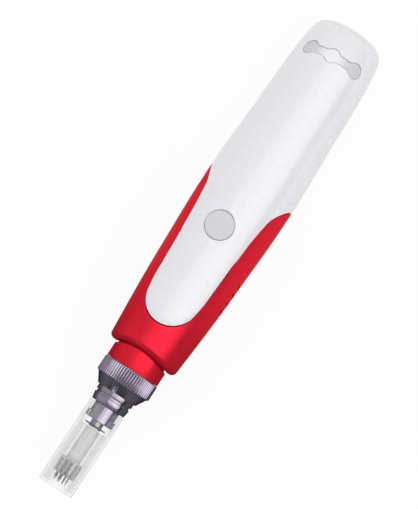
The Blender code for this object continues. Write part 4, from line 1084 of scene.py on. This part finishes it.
texture = add_node(
    tree, "TexNoise",
    {"Vector": place.outputs["Object"], "Scale": 1 / 0.0003, "Detail": 3.0, "Roughness": 0.55},
)
tint = add_node(
    tree, "Mix", {0: texture.outputs["Fac"], 6: linear("#CDCCCC"), 7: linear("#D4D3D3")},
    data_type="RGBA",
)
bump = add_node(
    tree, "Bump", {"Height": texture.outputs["Fac"], "Strength": 0.3, "Distance": 0.000012},
)
shader = add_node(
    tree, "BsdfPrincipled",
    {"Base Color": tint.outputs[2], "Roughness": 0.5, "Normal": bump.outputs[0]},
)
add_node(tree, "OutputMaterial", {"Surface": shader.outputs[0]})
finish_surface(button, soft_grey)
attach(button, "button")
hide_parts("button_cap")

# Indicator lens: one strip of frosted polycarbonate with three round windows, let into the shell a
# little below its skin, over the three lights. It looks whitest in the middle and greyer at its
# two ends.
lens = lens_strip("indicator_window", grow=0.0, top=0.00016, bottom=0.00145, edge=0.00012)
frosted, tree = new_material("frosted_polycarbonate")
place = add_node(tree, "TexCoord")
frost = add_node(
    tree, "TexNoise", {"Vector": place.outputs["Object"], "Scale": 1 / 0.0005, "Detail": 3.0},
)
frost_tint = add_node(
    tree, "Mix", {0: frost.outputs["Fac"], 6: linear("#CECED1"), 7: linear("#D6D6D9")},
    data_type="RGBA",
)
across_strip = add_node(tree, "SeparateXYZ", {0: place.outputs["Object"]})
from_middle = add_node(tree, "Math", {0: across_strip.outputs["Y"]}, operation="ABSOLUTE")
window_end = add_node(
    tree, "MapRange", {0: from_middle.outputs[0], 1: 0.0015, 2: 0.0055, 3: 0.0, 4: 1.0},
    interpolation_type="SMOOTHSTEP",
)
tint = add_node(
    tree, "Mix", {0: window_end.outputs[0], 6: linear("#F0F0F1"), 7: frost_tint.outputs[2]},
    data_type="RGBA",
)
gloss = add_node(tree, "MapRange", {0: frost.outputs["Fac"], 1: 0.3, 2: 0.7, 3: 0.3, 4: 0.4})
shader = add_node(
    tree, "BsdfPrincipled",
    {"Base Color": tint.outputs[2], "Roughness": gloss.outputs[0], "IOR": 1.55,
     "Transmission Weight": 0.05},
)
add_node(tree, "OutputMaterial", {"Surface": shader.outputs[0]})
finish_surface(lens, frosted)
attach(lens, "housing")
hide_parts("indicator_lens")

# Charging jack: a barrel socket with a centre pin, in the middle of the tail, moulded from satin
# black ABS. A nut inside the shell clamps it.
jack_low, jack_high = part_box("charge_jack")
JACK_RADIUS = jack_high.y
SOCKET_RADIUS = JACK_RADIUS - 0.00095
SOCKET_FLOOR_X = jack_low.x + 0.0012
PIN_RADIUS = 0.001
PIN_TOP_X = jack_high.x - 0.0012
JACK_ROUND = 0.00015
jack = turned(
    "charging_jack",
    [
        (jack_low.x, JACK_RADIUS), (jack_high.x, JACK_RADIUS), (jack_high.x, SOCKET_RADIUS),
        (SOCKET_FLOOR_X, SOCKET_RADIUS), (SOCKET_FLOOR_X, PIN_RADIUS), (PIN_TOP_X, PIN_RADIUS),
    ],
    96, solid=True,
)
round_edges(jack, JACK_ROUND)
black_abs, tree = new_material("black_moulded_abs")
place = add_node(tree, "TexCoord")
texture = add_node(
    tree, "TexNoise", {"Vector": place.outputs["Object"], "Scale": 1 / 0.00045, "Detail": 3.0},
)
tint = add_node(
    tree, "Mix", {0: texture.outputs["Fac"], 6: linear("#1F1F21"), 7: linear("#2A2A2D")},
    data_type="RGBA",
)
gloss = add_node(tree, "MapRange", {0: texture.outputs["Fac"], 1: 0.3, 2: 0.7, 3: 0.42, 4: 0.55})
bump = add_node(
    tree, "Bump", {"Height": texture.outputs["Fac"], "Strength": 0.3, "Distance": 0.00001},
)
shader = add_node(
    tree, "BsdfPrincipled",
    {"Base Color": tint.outputs[2], "Roughness": gloss.outputs[0], "Normal": bump.outputs[0]},
)
add_node(tree, "OutputMaterial", {"Surface": shader.outputs[0]})
finish_surface(jack, black_abs)
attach(jack, "housing")
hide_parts("charge_jack")

# Return spring: an open coil, cold wound from spring steel wire. Its front end stands in the
# guide's pocket and its rear end goes with the drive rod, which it pushes back after each stroke.
spring_low, spring_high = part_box("return_spring")
WIRE_RADIUS = 0.00022
WIRE_SIDES = 10
COIL_RADIUS = 0.0029
COIL_TURNS = 4
STEPS_PER_TURN = 24
coil_start, coil_end = spring_low.x + WIRE_RADIUS, spring_high.x - WIRE_RADIUS
rings = []
for share in np.linspace(0, 1, STEPS_PER_TURN * COIL_TURNS + 1):
    middle = coil_start + (coil_end - coil_start) * share
    rings.append([
        round_point(
            middle + WIRE_RADIUS * cos(side), COIL_RADIUS + WIRE_RADIUS * sin(side),
            tau * COIL_TURNS * share,
        )
        for side in np.linspace(0, tau, WIRE_SIDES, endpoint=False)
    ])
spring = laid_rings("coiled_return_spring", rings, joined=False)
finish_surface(spring, steel, 50)
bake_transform(spring)
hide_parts("return_spring")


# Inside the handle: parts that stay as the frame has them, each in its own plain finish. Motor can,
# rod, shaft, contacts, nut and screw are steel; bush and pin are brass.
def dress(material, *nodes):
    """Gives CAD parts their material."""
    for name in nodes:
        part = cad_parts[name]
        for place in part.material_slots:
            place.material = material


def moulded(name, dark, pale, low, high, grain):
    """A plain surface with a fine cloudy grain."""
    material, tree = new_material(name)
    place = add_node(tree, "TexCoord")
    texture = add_node(
        tree, "TexNoise", {"Vector": place.outputs["Object"], "Scale": 1 / grain, "Detail": 3.0},
    )
    tint = add_node(
        tree, "Mix", {0: texture.outputs["Fac"], 6: linear(dark), 7: linear(pale)},
        data_type="RGBA",
    )
    gloss = add_node(tree, "MapRange", {0: texture.outputs["Fac"], 1: 0.3, 2: 0.7, 3: low, 4: high})
    shader = add_node(
        tree, "BsdfPrincipled", {"Base Color": tint.outputs[2], "Roughness": gloss.outputs[0]},
    )
    add_node(tree, "OutputMaterial", {"Surface": shader.outputs[0]})
    return material


dress(
    steel, "drive_rod", "cam_screw", "motor_shaft", "motor_can",
    "battery_contact_front", "battery_contact_rear", "jack_nut",
)
dress(turned_metal("machined_brass", "#B08A48", "#C49C58", "#B08A48", 0.22, 0.32, 0.000004),
      "guide_bush", "follower_pin")
dress(turned_metal("enamelled_copper_wire", "#93502B", "#B06636", "#93502B", 0.3, 0.4, 0.00004),
      "motor_armature")
dress(black_abs, "guide_block", "cam_housing", "motor_end_cap", "chassis_tray", "power_switch",
      "motor_driver_chip", "battery_connector")
dress(moulded("sintered_magnet", "#3A3A3C", "#4A4A4D", 0.5, 0.65, 0.0003),
      "motor_magnet_left", "motor_magnet_right")
dress(moulded("white_acetal", "#D9D8D2", "#E6E5E0", 0.35, 0.45, 0.0012), "drive_cam")
dress(moulded("blue_shrink_sleeve", "#1E4A8C", "#27589E", 0.28, 0.38, 0.003), "battery_cell")
dress(moulded("green_solder_mask", "#12552B", "#1A6636", 0.35, 0.5, 0.0008),
      "main_board", "led_board")
dress(moulded("diffused_led_resin", "#E4E4DE", "#EFEFEA", 0.3, 0.4, 0.0006),
      "led_left", "led_middle", "led_right")
dress(rubber, "nose_oring")
